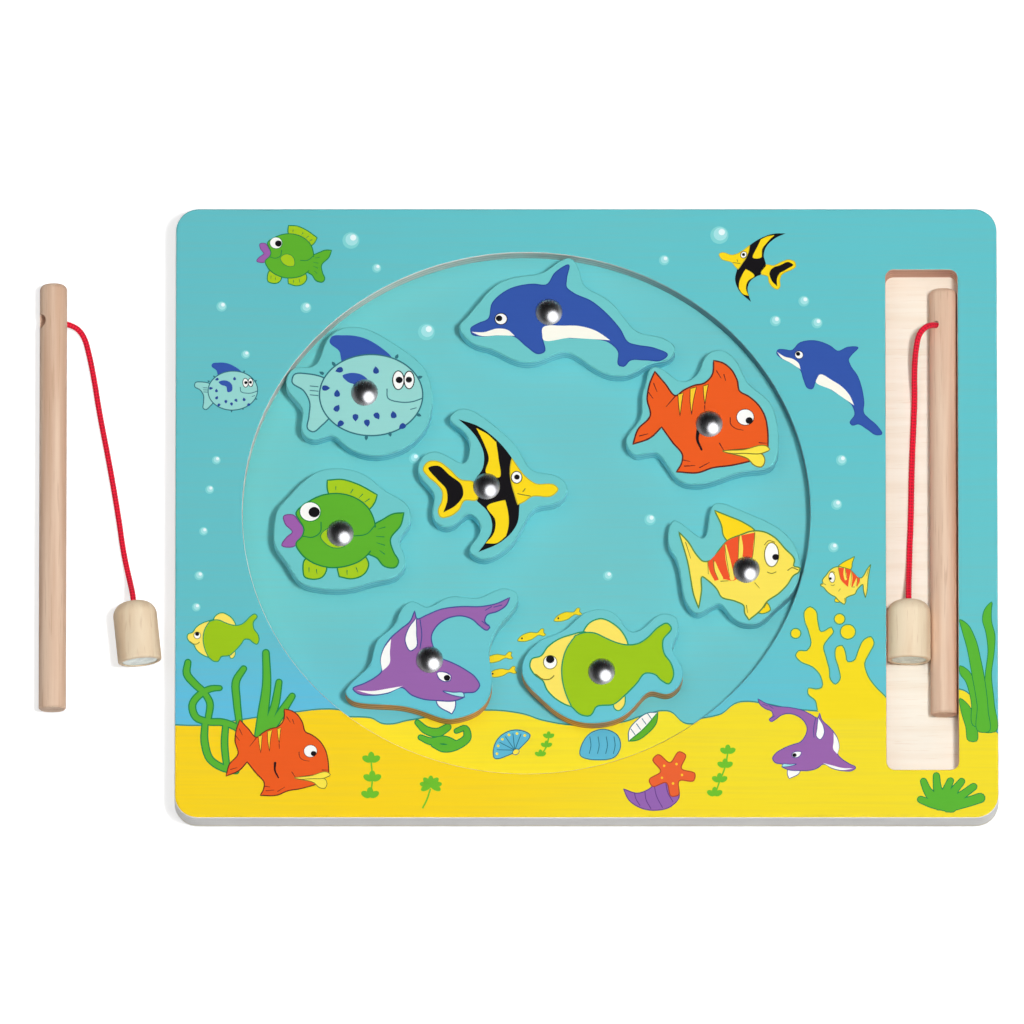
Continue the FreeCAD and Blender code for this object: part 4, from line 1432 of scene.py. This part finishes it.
@dataclass
class FramePrints:
    """The sea scene printed round the pool: small fish, bubbles, weeds, coral and what lies on the sand."""

    pool: Pool = field(default_factory=Pool)
    small_line: float = 0.36
    over_plants: float = 0.07 * MM
    copies: tuple[SmallCopy, ...] = (
        SmallCopy(GreenFish, -107.4, 95.4, 0.60, -7), SmallCopy(Puffer, -130.2, 46.0, 0.48, 3),
        SmallCopy(AngelFish, 62.8, 92.8, 0.57, -18, True), SmallCopy(Dolphin, 88.6, 54.2, 0.68, -32),
        SmallCopy(StripedFish, 93.6, -26.4, 0.43, 5, True), SmallCopy(LimeFish, -132.4, -47.4, 0.50, 2),
        SmallCopy(OrangeFish, -110.4, -91.6, 0.76, 3), SmallCopy(Shark, 80.2, -86.6, 0.66, -5, True),
    )
    bubbles: tuple[Knot, ...] = (
        (-86.0, 102.0, 3.1), (-76.6, 91.6, 1.7), (-133.2, 77.2, 1.9), (-102.4, 76.8, 2.0),
        (-124.4, 59.2, 1.6), (-135.0, 19.6, 1.6), (-137.4, 8.6, 1.6), (-139.6, -7.0, 1.6),
        (-141.2, -23.6, 1.7), (-142.2, -35.4, 1.6), (48.6, 104.0, 3.3), (28.4, 94.6, 1.9),
        (79.4, 79.2, 2.0), (69.0, 71.8, 2.0), (84.2, 71.0, 2.0), (93.0, 19.6, 2.0), (91.2, 3.0, 2.0),
        (90.0, -13.0, 1.9),
    )

    def small_fish(self) -> PrintSheet:
        """The eight fish again, smaller.

        Returns:
            Their sheet.
        """
        sheet = PrintSheet("frame_fish_print", BOARD_TOP + self.over_plants, "printed_board",
                           sunk=self.over_plants + PRINT_DEPTH)
        unit_x, unit_y = self.pool.units()
        for copy in self.copies:
            pen = Pen(sheet, copy.x * MM, copy.y * MM, unit_x * copy.scale, unit_y * copy.scale, copy.turn,
                      copy.mirrored, self.small_line, spacing=1.1)
            copy.creature().draw(pen)
        return sheet

    def bubble_sheet(self) -> PrintSheet:
        """Pale bubbles, each with a bright spot.

        Returns:
            Their sheet.
        """
        sheet = PrintSheet("frame_bubble_print", BOARD_TOP, "printed_board")
        for x, y, radius in self.bubbles:
            draw_bubble(sheet, x, y, radius)
        return sheet

    def weed_sheet(self) -> PrintSheet:
        """The weeds at the left and right, the coral and the bush.

        Returns:
            Their sheet.
        """
        sheet = PrintSheet("frame_plant_print", BOARD_TOP, "printed_board")
        pen = Pen(sheet, spacing=1.2)
        draw_branches(pen, 0.7, [
            [(-145.2, -56.0, 2.0), (-145.6, -60.2, 2.4), (-142.9, -63.8, 2.4), (-139.4, -67, 2.2)],
            [(-133.6, -65.6, 1.6), (-136.6, -65.8, 2.0), (-139.4, -67, 2.2), (-143.6, -72.2, 2.3),
             (-142.2, -76.5, 2.3), (-138, -78.1, 2.3), (-132.5, -78.4, 2.3), (-127.6, -80.2, 2.2),
             (-123.6, -83.6, 2.0)],
            [(-139.4, -67, 2.0), (-137.2, -71, 2.2), (-137.7, -76.7, 2.0)],
            [(-138.9, -78.1, 2.0), (-139, -86, 2.4), (-137, -92.2, 2.3), (-132.5, -95.3, 2.3),
             (-127.6, -96.5, 2.0)],
            [(-131.4, -79.4, 2.0), (-131.8, -86, 2.2), (-131, -95, 2.0)],
            [(-126.3, -79.6, 2.0), (-127.4, -70.1, 2.4), (-127.5, -62.6, 2.4), (-124.9, -58.4, 2.0)],
        ])
        draw_branches(pen, 0.7, [
            [(-119, -86, 4.2), (-117.9, -76, 3.6), (-116.5, -64, 2.8), (-116.8, -52.4, 2.2)],
            [(-116.6, -80, 2.4), (-113.6, -72.4, 2.6), (-112, -63.4, 2.0)],
            [(-117, -84, 2.4), (-112.8, -77.4, 3.0), (-107.2, -68.6, 2.0)],
        ])
        for place, blade in enumerate((
            [(135.95, -69.4), (138.8, -71.6), (141.2, -76.4), (142.4, -82.0), (142.0, -85.4), (139.2, -85.4),
             (138.0, -80.0), (136.4, -74.4)],
            [(135.95, -57.2), (138.6, -58.6), (141.6, -63.6), (143.6, -72.0), (144.0, -80.0), (141.4, -80.0),
             (140.0, -70.4), (137.8, -62.8), (136.0, -60.2)],
            [(147.7, -33.4), (147.5, -36.8), (147.6, -40.8), (148.7, -45.4), (148.5, -52.0), (147.5, -60.0),
             (148.4, -71.0), (148.5, -82.0), (145.0, -82.2), (144.6, -71.0), (145.2, -60.4), (146.2, -51.0),
             (145.4, -44.6), (144.2, -39.8), (145.4, -35.6)],
            [(136.0, -40.0), (138.6, -41.6), (141.4, -46.6), (143.6, -55.0), (145.2, -64.0), (146.2, -74.0),
             (146.2, -82.0), (143.0, -82.0), (142.2, -72.0), (140.4, -61.0), (138.4, -50.0), (136.7, -43.8)],
        )):
            pen.shape(blade, Ink.WEED, 2 * place, Ink.WEED_EDGE, 0.7)
        self.coral(pen)
        draw_branches(pen, 0.5, [
            [(122.6, -100.4, 2.2), (124.0, -103.8, 2.8), (128.4, -108.6, 5.0)],
            [(127.3, -98.3, 2.2), (127.6, -102.6, 2.8), (129.4, -107.6, 5.0)],
            [(132.4, -100.2, 2.2), (131.0, -103.6, 2.8), (130.4, -108.2, 5.0)],
            [(136.5, -100.4, 2.2), (133.8, -103.8, 2.8), (131.4, -108.6, 5.0)],
            [(140.8, -102.4, 2.4), (136.8, -105.4, 2.8), (131.6, -109.2, 5.0)],
            [(143.2, -106.6, 3.4), (138.2, -108.2, 3.4), (131.4, -110.0, 3.6)],
            [(121.6, -107.2, 2.4), (125.2, -108.6, 2.8), (132.8, -110.2, 3.4)],
        ])
        return sheet

    def coral(self, pen: Pen) -> None:
        """A branched yellow coral that grows out of the sand, with three round drops beside it.

        Args:
            pen: The pen.
        """
        crown = [
            (84.0, -73.8), (83.2, -70.2), (80.6, -67.8), (80.8, -65.6), (83.4, -66.0), (85.6, -65.4),
            (85.3, -61.4), (82.4, -57.8), (77.8, -55.6), (76.1, -53.4), (77.2, -51.7), (80.2, -51.6),
            (81.6, -49.6), (81.0, -45.0), (79.4, -40.0), (79.4, -36.8), (81.4, -35.2), (83.5, -36.6),
            (84.3, -41.0), (85.5, -44.6), (87.4, -43.8), (89.2, -42.8), (90.0, -44.4), (88.2, -47.0),
            (86.4, -49.8), (87.2, -54.0), (88.4, -58.6), (88.9, -62.6), (90.6, -64.2), (92.2, -62.6),
            (91.8, -58.2), (90.5, -53.4), (91.1, -50.2), (93.1, -49.7), (94.3, -52.4), (95.2, -55.8),
            (97.2, -55.4), (99.0, -51.4), (101.4, -47.2), (103.6, -46.4), (104.7, -48.4), (103.0, -52.6),
            (101.3, -56.4), (102.2, -60.4), (105.2, -65.0), (108.6, -68.5),
        ]
        foot = [(108.6, -76.0), (96.0, -77.0), (86.0, -77.0)]
        pen.fill(smooth(crown + [crown[-1]] + foot + [foot[-1], crown[0]], True, pen.spacing * 0.7),
                 Ink.CORAL, 0)
        pen.ink_line(crown, Ink.CORAL_EDGE, 1)
        for x, y, radius in ((76.2, -45.2, 1.9), (92.2, -39.8, 2.0), (95.2, -44.6, 2.8)):
            pen.oval((x, y), radius, radius, Ink.CORAL, 0, Ink.CORAL_EDGE)

    def sand_sheet(self) -> PrintSheet:
        """The starfish, the shell and the sprigs on the sand.

        Returns:
            Their sheet.
        """
        sheet = PrintSheet("frame_sand_print", BOARD_TOP, "printed_board")
        pen = Pen.fine(sheet)
        draw_shell(pen)
        draw_star(pen, (30.9, -97.4), 8.6, 4.0)
        draw_sprig(pen, [(-78.4, -93.0), (-78.0, -100.0), (-78.8, -106.2)], 3.0)
        draw_sprig(pen, [(51.4, -89.8), (50.4, -95.0), (48.4, -100.4), (46.6, -105.6)], 2.6)
        draw_clover(Pen.fine(sheet, -56.7, -101.9))
        return sheet

    def build(self, finishes: Finishes) -> None:
        """Prints the frame.

        Args:
            finishes: The game's materials.
        """
        for sheet in (self.small_fish(), self.bubble_sheet(), self.weed_sheet(), self.sand_sheet()):
            sheet.build(finishes)


@dataclass
class PoolFloorPrints:
    """The print at the bottom of the pool: bubbles, minnows, shells and small plants."""

    bubbles: tuple[Knot, ...] = ((-58.4, 69.8, 3.1), (-62.8, 22.4, 2.0), (7.8, -21.6, 1.8), (23.2, -0.6, 2.1))
    minnows: tuple[Knot, ...] = (
        (-20.2, -44.2, 18), (-7.0, -36.6, 20), (-32.2, -52.4, 12), (-30.8, -57.8, 12),
    )

    def minnow(self, sheet: PrintSheet, x: float, y: float, turn: float) -> None:
        """A tiny yellow fish.

        Args:
            sheet: The sheet that it is printed on.
            x: Its middle.
            y: Its middle.
            turn: Its turn in degrees.
        """
        small = Pen(sheet, x * MM, y * MM, turn=turn, line=0.28, spacing=0.5)
        small.shape([(-5.2, 0), (-3.4, 1.2), (0, 1.5), (2.8, 0.6), (4.6, 1.5), (5.2, 1.2), (4.8, 0),
                     (5.2, -1.2), (4.4, -1.3), (2.8, -0.5), (0, -1.2), (-3.4, -1.0)], Ink.MINNOW, 0,
                    Ink.MINNOW_EDGE)
        small.oval((-3.4, 0.3), 0.35, 0.35, Ink.BLACK, 2)

    def build(self, finishes: Finishes) -> None:
        """Prints the pool's floor.

        Args:
            finishes: The game's materials.
        """
        sheet = PrintSheet("pool_floor_print", POOL_FLOOR, "printed_board")
        pen = Pen.fine(sheet)
        for x, y, radius in self.bubbles:
            draw_bubble(sheet, x, y, radius)
        for x, y, turn in self.minnows:
            self.minnow(sheet, x, y, turn)
        draw_fan_shell(Pen.fine(sheet, -25.6, -87.6, turn=34), 8.4)
        draw_sprig(pen, [(-13.8, -82.0), (-14.6, -85.4), (-16.8, -88.8)], 1.9)
        draw_branches(pen, 0.6, [
            [(-61.6, -76.4, 1.8), (-58.6, -79.2, 2.6), (-54.2, -80.2, 3.0), (-50.6, -78.2, 2.4)],
            [(-55.6, -84.6, 2.0), (-52.4, -86.0, 2.6), (-47.4, -85.0, 3.0), (-43.4, -81.6, 2.6),
             (-44.2, -78.6, 2.0), (-47.4, -79.6, 1.6)],
            [(-60.4, -82.0, 1.8), (-57.0, -83.4, 2.4), (-51.6, -83.0, 2.8), (-47.8, -84.6, 2.6)],
        ])
        pen.shape([(-2.4, -88.4), (-1.6, -84.4), (1.4, -80.4), (6.8, -79.0), (11.4, -81.4), (12.4, -85.4),
                   (10.6, -89), (4.6, -90.4)], Ink.SHELL_BLUE, 0, Ink.SHELL_EDGE)
        for x in (1.2, 4.2, 7.2, 10.0):
            pen.ink_line([(x, -81.8), (x + 0.4, -85), (x - 0.2, -88)], Ink.SHELL_EDGE, 2, 0.8)
        clam = Pen.fine(sheet, 20.8, -78.2, turn=44)
        clam.shape([(-7.6, 0), (-7.6, 0), (-4.8, 2.8), (0, 3.6), (4.8, 2.8), (7.6, 0.4), (7.6, 0.4),
                    (0, -0.4)], Ink.WHITE, 2, Ink.SHELL_EDGE)
        clam.shape([(-7.6, 0), (-7.6, 0), (0, -0.4), (7.6, 0.4), (7.6, 0.4), (4.6, -2.0), (-0.6, -2.7),
                    (-4.8, -2.0)], Ink.GREEN, 4, Ink.GREEN_EDGE)
        for u in (-4.2, -1.4, 1.4, 4.2):
            clam.ink_line([(u, 0.2), (u + 0.4, 2.7)], Ink.SHELL_EDGE, 6, 0.8)
        sheet.build(finishes)


def draw_bubble(sheet: PrintSheet, x: float, y: float, radius: float) -> None:
    """Draws a bubble with a bright spot at its upper right.

    Args:
        sheet: The sheet that it is printed on.
        x: Its middle in millimetres.
        y: Its middle in millimetres.
        radius: Its radius.
    """
    pen = Pen(sheet, x * MM, y * MM, radius * MM, radius * MM, spacing=0.6 / radius)
    pen.oval((0, 0), 1, 1, Ink.BUBBLE, 0)
    pen.oval((0.10, 0.12), 0.74, 0.74, Ink.BUBBLE_PALE, 1)
    pen.oval((0.26, 0.34), 0.36, 0.36, Ink.BUBBLE_LIGHT, 2)


def draw_branches(pen: Pen, rim: float, branches: list[list[Knot]]) -> None:
    """Draws a branched weed as strokes that run together, with one edge round them all.

    Args:
        pen: The pen.
        rim: How much wider the edge's strokes are, in millimetres.
        branches: Each branch's points and widths in millimetres.
    """
    for layer, ink, grow in ((0, Ink.WEED_EDGE, rim), (2, Ink.WEED, -rim * 0.4)):
        for number, branch in enumerate(branches):
            pen.stroke(branch, ink, layer + number * 0.1, grow=grow)


def draw_sprig(pen: Pen, knots: list[Point], size: float) -> None:
    """Draws a small plant: a stem with a tuft of leaves at each of its knots.

    Args:
        pen: The pen.
        knots: The stem's points from the top down.
        size: The length of a leaf.
    """
    pen.ink_line(knots, Ink.SPRIG, 0, 1.5)
    for knot in knots:
        for number, angle in enumerate((30, 150, 90)):
            pen.oval(around(knot, size * 0.6, angle), size * 0.62, size * 0.4, Ink.SPRIG, 1 + number * 0.3,
                     turn=angle)


def draw_clover(pen: Pen) -> None:
    """Draws a round leaf of seven lobes on a bent stem.

    Args:
        pen: A pen at the leaf's middle.
    """
    pen.ink_line([(-0.2, -1.5), (-1.5, -5.5), (-2.9, -8.3)], Ink.SPRIG, 0, 1.6)
    for angle in range(-30, 211, 40):
        across, up = turned(1, 0, angle)
        pen.oval((1.9 * across, 1.5 * up), 2.2, 1.1, Ink.SPRIG, 1 + angle / 400, turn=angle)


def draw_star(pen: Pen, middle: Point, reach: float, waist: float) -> None:
    """Draws a starfish with five blunt arms.

    Args:
        pen: The pen.
        middle: Its middle.
        reach: How far its arms reach.
        waist: How far its hollows are from the middle.
    """
    arms = range(62, 422, 72)
    half_tip = math.degrees(0.13)
    outline = []
    for arm in arms:
        outline += [around(middle, reach, arm - half_tip), around(middle, reach, arm + half_tip),
                    around(middle, waist, arm + 36)]
    pen.shape(outline, Ink.STAR_RED, 6, Ink.STAR_EDGE)
    for arm in arms:
        pen.oval(around(middle, reach * 0.45, arm), 0.45, 0.45, Ink.STRIPE_YELLOW, 8)


def draw_shell(pen: Pen) -> None:
    """Draws a purple shell that lies on its side.

    Args:
        pen: The pen.
    """
    pen.shape([(13.4, -103.2), (13.4, -103.2), (18.6, -104.8), (22.8, -103.2), (25.6, -100.6),
               (29.6, -100.2), (33.2, -102.6), (33.6, -106.4), (30.6, -109.8), (25.2, -111.2),
               (19.4, -110.2), (15.4, -107.4)], Ink.SHELL_PURPLE, 0, Ink.SHELL_PURPLE_EDGE)
    ribs = [[(17.4, -104.6), (17.8, -106.6), (19.4, -109.4)],
            [(21.2, -104.2), (21.6, -107.2), (23.4, -110.6)],
            [(24.6, -101.8), (25.4, -105.8), (27.6, -110.2)],
            [(28.8, -100.8), (29.4, -104.2), (31.4, -108.0)]]
    pen.marks(ribs, Ink.SHELL_PURPLE_EDGE, 2, 0.8)
    pen.shape([(30.4, -101.0), (33.0, -103.2), (33.2, -105.8), (31.8, -106.0), (30.4, -103.8)],
              Ink.LIP_YELLOW, 3, Ink.SHELL_PURPLE_EDGE, 0.8)


def draw_fan_shell(pen: Pen, reach: float) -> None:
    """Draws a ribbed fan shell that opens upwards from a round yellow hinge.

    Args:
        pen: A pen at the hinge.
        reach: How far its lobes reach.
    """
    hinge, rib, half_lobe = (0, 0), reach * 0.84, math.degrees(0.14)
    lobes = range(150, 29, -24)
    outline = [hinge, hinge]
    for angle in lobes:
        outline += [around(hinge, reach, angle + half_lobe), around(hinge, reach, angle - half_lobe)]
    pen.shape(outline, Ink.SHELL_BLUE, 0, Ink.SHELL_EDGE)
    pen.marks([[(0, 1), around(hinge, rib, angle - 12)] for angle in lobes[:-1]], Ink.SHELL_EDGE, 2, 0.8)
    for angle in lobes:
        pen.oval(around(hinge, rib, angle), 0.5, 0.5, Ink.LIP_YELLOW, 3)
    pen.oval((0, 0.2), 1.3, 1.0, Ink.LIP_YELLOW, 4, Ink.SHELL_EDGE, width=0.7)


def dress(node: str, material: bpy.types.Material) -> None:
    """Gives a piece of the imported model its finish.

    Args:
        node: The piece's name.
        material: Its finish.
    """
    mesh = bpy.data.objects[node].data
    if not mesh.materials:
        mesh.materials.append(material)
    for number in range(len(mesh.materials)):
        mesh.materials[number] = material
    LOG.info("%s: %s", node, material.name)


@dataclass
class BraidedCord:
    """A rod's red braided cord, with the knots that hold it in the rod and in the bobbin."""

    name: str
    hole: Place
    mouth: Place
    route: list[Place]
    diameter: float = 2.1 * MM
    sides: int = 24
    ring_step: float = 0.2 * MM
    strands: int = 3
    stitch: float = 1.15 * MM
    relief: float = 0.085 * MM
    knot_strand: float = 0.8 * MM
    knot_reach: float = 2.25 * MM
    knot_half_height: float = 1.9 * MM
    knot_rings: int = 90

    def line(self) -> list[Vector]:
        """Points read from the smooth curve through the route.

        Returns:
            The points from the rod's end on.
        """
        curve = bpy.data.curves.new(f"{self.name}_cord_line", "CURVE")
        curve.dimensions = "3D"
        spline = curve.splines.new("NURBS")
        spline.points.add(len(self.route) - 1)
        for point, (x, y, z) in zip(spline.points, self.route):
            point.co = ((self.hole[0] + x) * MM, (self.hole[1] + y) * MM, z * MM, 1.0)
        spline.order_u = 3
        spline.use_endpoint_u = True
        spline.resolution_u = 24
        carrier = bpy.data.objects.new(f"{self.name}_cord_line", curve)
        read = bpy.data.meshes.new_from_object(carrier)
        points = [vertex.co.copy() for vertex in read.vertices]
        bpy.data.objects.remove(carrier)
        bpy.data.curves.remove(curve)
        bpy.data.meshes.remove(read)
        return points

    def evenly(self, points: list[Vector]) -> list[Vector]:
        """The same line with its points one ring step apart.

        Args:
            points: The line's points.

        Returns:
            The new points, with the last one kept.
        """
        step = self.ring_step
        spaced, travelled, target = [points[0]], 0.0, step
        for start, end in zip(points, points[1:]):
            length = (end - start).length
            while length > 0 and travelled + length >= target:
                spaced.append(start.lerp(end, (target - travelled) / length))
                target += step
            travelled += length
        if (spaced[-1] - points[-1]).length < step / 2:
            spaced[-1] = points[-1]
        else:
            spaced.append(points[-1])
        return spaced

    def braid_mesh(self, name: str, rings: list[Vector], radius: float, closed: bool) -> bpy.types.Mesh:
        """A braided tube along a line.

        Args:
            name: The mesh's name.
            rings: The middle of each ring of the tube.
            radius: The tube's radius.
            closed: Whether the tube runs back into its start.

        Returns:
            The tube's closed mesh, with the height of its braid at each point.
        """
        count = len(rings)
        side = None
        points, heights = [], []
        travelled = 0.0
        for index, middle in enumerate(rings):
            before = rings[index - 1] if closed or index else middle
            after = rings[(index + 1) % count] if closed or index < count - 1 else middle
            along = (after - before).normalized()
            if side is None:
                side = along.orthogonal().normalized()
            side = (side - along * side.dot(along)).normalized()
            other = along.cross(side)
            if index:
                travelled += (middle - rings[index - 1]).length
            stitch_turn = 2 * math.pi * travelled / self.stitch
            for number in range(self.sides):
                angle = 2 * math.pi * number / self.sides
                height = 0.5 + 0.25 * (math.cos(2 * self.strands * angle) + math.cos(stitch_turn))
                reach = radius + self.relief * (2 * height - 1)
                points.append(middle + (side * math.cos(angle) + other * math.sin(angle)) * reach)
                heights.append(height)
        faces = []
        for ring in range(count if closed else count - 1):
            following = (ring + 1) % count
            for number in range(self.sides):
                beside = (number + 1) % self.sides
                faces.append((ring * self.sides + number, ring * self.sides + beside,
                              following * self.sides + beside, following * self.sides + number))
        if not closed:
            faces.append(tuple(reversed(range(self.sides))))
            faces.append(tuple((count - 1) * self.sides + number for number in range(self.sides)))
        mesh = bpy.data.meshes.new(name)
        mesh.from_pydata([tuple(point) for point in points], [], faces)
        mesh.polygons.foreach_set("use_smooth", [len(face) == 4 for face in faces])
        attribute = mesh.attributes.new("braid_height", "FLOAT", "POINT")
        attribute.data.foreach_set("value", heights)
        mesh.update()
        return mesh

    def knot(self, where: str, towards: Vector, finishes: Finishes) -> bpy.types.Object:
        """A small overhand knot in place of its plain barrel.

        Args:
            where: The piece that it is knotted in, rod or bobbin.
            towards: The cord's end beside it.
            finishes: The game's materials.

        Returns:
            The knot's object.
        """
        node = f"{self.name}_{where}_knot"
        low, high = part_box(node)
        middle = (Vector(low) + Vector(high)) / 2
        axis = (towards - middle).normalized()
        side = axis.orthogonal().normalized()
        other = axis.cross(side)
        size = (self.knot_reach - self.knot_strand) / 3
        rise = self.knot_half_height - self.knot_strand
        line = []
        for number in range(self.knot_rings):
            turn = 2 * math.pi * number / self.knot_rings
            across = size * (math.sin(turn) + 2 * math.sin(2 * turn))
            up = size * (math.cos(turn) - 2 * math.cos(2 * turn))
            line.append(middle + side * across + other * up - axis * rise * math.sin(3 * turn))
        mesh = self.braid_mesh(f"{node}_braid", line, self.knot_strand, True)
        mesh.materials.append(finishes.cord)
        piece = add_piece(f"{node}_braid", mesh)
        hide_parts(node)
        return piece

    def build(self, finishes: Finishes) -> None:
        """Makes the cord and its two knots.

        Args:
            finishes: The game's materials.
        """
        line = self.line()
        mesh = self.braid_mesh(f"{self.name}_cord_braid", self.evenly(line), self.diameter / 2, False)
        mesh.materials.append(finishes.cord)
        piece = add_piece(f"{self.name}_cord_braid", mesh)
        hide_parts(f"{self.name}_cord")
        knots = [self.knot("rod", line[0], finishes), self.knot("bobbin", line[-1], finishes)]


LOOSE_CORD = BraidedCord("loose", hole=(-194.703, 73.6, 5.0), mouth=(-190.17, 73.6, 2.89), route=[
    (1.81, 0, 4.15), (6.89, 0, 1.79), (11.1, -3.9, 1.1), (13.0, -11.0, 1.05), (14.9, -20.5, 1.05),
    (16.8, -33.0, 1.05), (20.6, -52.5, 1.05), (23.9, -72.0, 1.05), (25.6, -84.5, 1.05), (27.2, -92.3, 1.6),
    (28.5, -98.4, 4.2), (29.33, -102.9, 8.0), (29.91, -108.48, 8.0)])
SLOT_CORD = BraidedCord("slot", hole=(130.303, 71.0, 8.2), mouth=(127.43, 71.0, 12.30), route=[
    (-1.15, 0, 9.84), (-4.36, 0, 14.43), (-8.9, -3.6, 16.0), (-10.2, -10.5, 13.6), (-10.6, -18.0, 8.9),
    (-10.4, -26.5, 5.1), (-10.9, -37.0, 4.3), (-11.6, -54.0, 4.25), (-11.9, -71.0, 4.25), (-12.4, -82.5, 4.3),
    (-12.6, -90.0, 5.0), (-12.85, -96.1, 7.4), (-12.9, -100.4, 11.2), (-12.9, -106.0, 11.2)])


@dataclass(frozen=True)
class Lamp:
    """A round soft lamp."""

    name: str
    place: Place
    watts: float
    width: float
    seen_in_metal: bool = True
    lights_matt: bool = True

    def build(self, look_at: Place) -> None:
        """Puts the lamp in its place.

        Args:
            look_at: The point that it shines at.
        """
        light = bpy.data.lights.new(self.name, "AREA")
        light.energy = self.watts
        light.shape = "DISK"
        light.size = self.width
        lamp = bpy.data.objects.new(self.name, light)
        bpy.context.scene.collection.objects.link(lamp)
        lamp.location = self.place
        lamp.rotation_euler = (Vector(look_at) - Vector(self.place)).to_track_quat("-Z", "Y").to_euler()
        lamp.visible_glossy = self.seen_in_metal
        lamp.visible_diffuse = self.lights_matt


@dataclass
class Studio:
    """The pale floor, the soft light and the camera at the photograph's angle."""

    look_at: Place = (-0.02716, 0.0002, 0.015)
    elevation: float = 77.0
    distance: float = 12.0
    lens: float = 1157.1
    sensor: float = 36.0
    sees_to: float = 50.0
    floor_half: float = 6.0
    floor_thickness: float = 0.02
    floor_grey: float = 0.58
    floor_glow: float = 0.62
    lamps: tuple[Lamp, ...] = (
        Lamp("key", (0.42, -0.22, 1.95), watts=26.6, width=0.28, seen_in_metal=False),
        Lamp("fill", (-0.4, 0.3, 2.1), watts=16.0, width=2.2, seen_in_metal=False),
        Lamp("glint", (0.86, -0.80, 1.55), watts=46.0, width=2.8, lights_matt=False),
    )
    sky_low: float = 1.15
    sky_top: float = 0.10
    sky_left: float = 0.40
    sky_back: float = 0.12

    def floor(self) -> None:
        """A pale floor that reads white and keeps the object's shadow."""
        half, low = self.floor_half, -self.floor_thickness
        corners = [(-half, -half), (half, -half), (half, half), (-half, half)]
        mesh = bpy.data.meshes.new("floor")
        sides = [(i, i + 4, (i + 1) % 4 + 4, (i + 1) % 4) for i in range(4)]
        mesh.from_pydata([(x, y, 0.0) for x, y in corners] + [(x, y, low) for x, y in corners], [],
                         [(0, 1, 2, 3), (7, 6, 5, 4)] + sides)
        mesh.update()
        floor = bpy.data.objects.new("floor", mesh)
        bpy.context.scene.collection.objects.link(floor)
        shade = Shade("pale_floor")
        pale = (self.floor_grey,) * 3 + (1.0,)
        shade.finish(pale, pale, 0.9, Specular_IOR_Level=0.0)
        rays = shade.node("ShaderNodeLightPath")
        seen = shade.math("MAXIMUM", rays.outputs["Is Glossy Ray"], rays.outputs["Is Transmission Ray"])
        seen = shade.math("MAXIMUM", rays.outputs["Is Camera Ray"], seen)
        glow = shade.node("ShaderNodeEmission")
        shade.link(shade.math("MULTIPLY", seen, self.floor_glow), glow.inputs["Strength"])
        both = shade.node("ShaderNodeAddShader")
        shade.link(shade.surface.outputs[0], both.inputs[0])
        shade.link(glow.outputs[0], both.inputs[1])
        shade.link(both.outputs[0], shade.output.inputs["Surface"])
        mesh.materials.append(shade.material)

    def world(self) -> None:
        """A sky that is white low down and dark overhead, and dim at the left and the back."""
        world = bpy.data.worlds.new("studio")
        bpy.context.scene.world = world
        world.use_nodes = True
        sky = Nodes(world.node_tree)
        x, y, z = sky.split(sky.node("ShaderNodeTexCoord").outputs["Generated"])
        height = sky.ramp(z, 0.12, 0.62, self.sky_low, self.sky_top)
        across = sky.ramp(x, -0.5, 0.5, self.sky_left, 1.0)
        along = sky.ramp(y, -0.2, 0.7, 1.0, self.sky_back)
        light = sky.node("ShaderNodeBackground")
        strength = sky.math("MULTIPLY", height, sky.math("MULTIPLY", across, along))
        sky.link(strength, light.inputs["Strength"])
        sky.link(light.outputs[0], sky.node("ShaderNodeOutputWorld").inputs["Surface"])

    def camera(self) -> None:
        """The camera, high over the board's front edge."""
        data = bpy.data.cameras.new("camera")
        data.sensor_width = self.sensor
        data.lens = self.lens
        data.clip_end = self.sees_to
        camera = bpy.data.objects.new("camera", data)
        bpy.context.scene.collection.objects.link(camera)
        angle = math.radians(self.elevation)
        back = Vector((0.0, -math.cos(angle), math.sin(angle)))
        camera.location = Vector(self.look_at) + back * self.distance
        camera.rotation_euler = back.to_track_quat("Z", "Y").to_euler()
        bpy.context.scene.camera = camera

    def build(self) -> None:
        """Sets up everything round the object."""
        self.floor()
        self.world()
        for lamp in self.lamps:
            lamp.build(self.look_at)
        self.camera()
        bpy.context.scene.view_settings.view_transform = "Standard"
        LOG.info("studio: floor, world, %d lamps and the camera", len(self.lamps))


def dress_model(finishes: Finishes) -> None:
    """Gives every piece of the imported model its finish.

    Args:
        finishes: The game's materials.
    """
    dress("base_board", finishes.wood_board)
    dress("play_board", finishes.printed_floor)
    dress("top_frame", finishes.printed_frame)
    for fish in CREATURES:
        dress(f"{fish}_plate", finishes.fish_plate)
        dress(f"{fish}_stud", finishes.stud)
    pieces = {"rod": finishes.rod, "bobbin": finishes.bobbin, "magnet": finishes.magnet,
              "cord": finishes.cord, "rod_knot": finishes.cord, "bobbin_knot": finishes.cord}
    for name in ("loose", "slot"):
        for piece, finish in pieces.items():
            dress(f"{name}_{piece}", finish)


def main() -> None:
    """Builds everything in order."""
    finishes = Finishes()
    Studio().build()
    dress_model(finishes)
    LOOSE_CORD.build(finishes)
    SLOT_CORD.build(finishes)
    FishPrints().build(finishes)
    FramePrints().build(finishes)
    PoolFloorPrints().build(finishes)


if __name__ == "__main__":
    logging.basicConfig(level=logging.INFO, format="%(message)s")
    main()
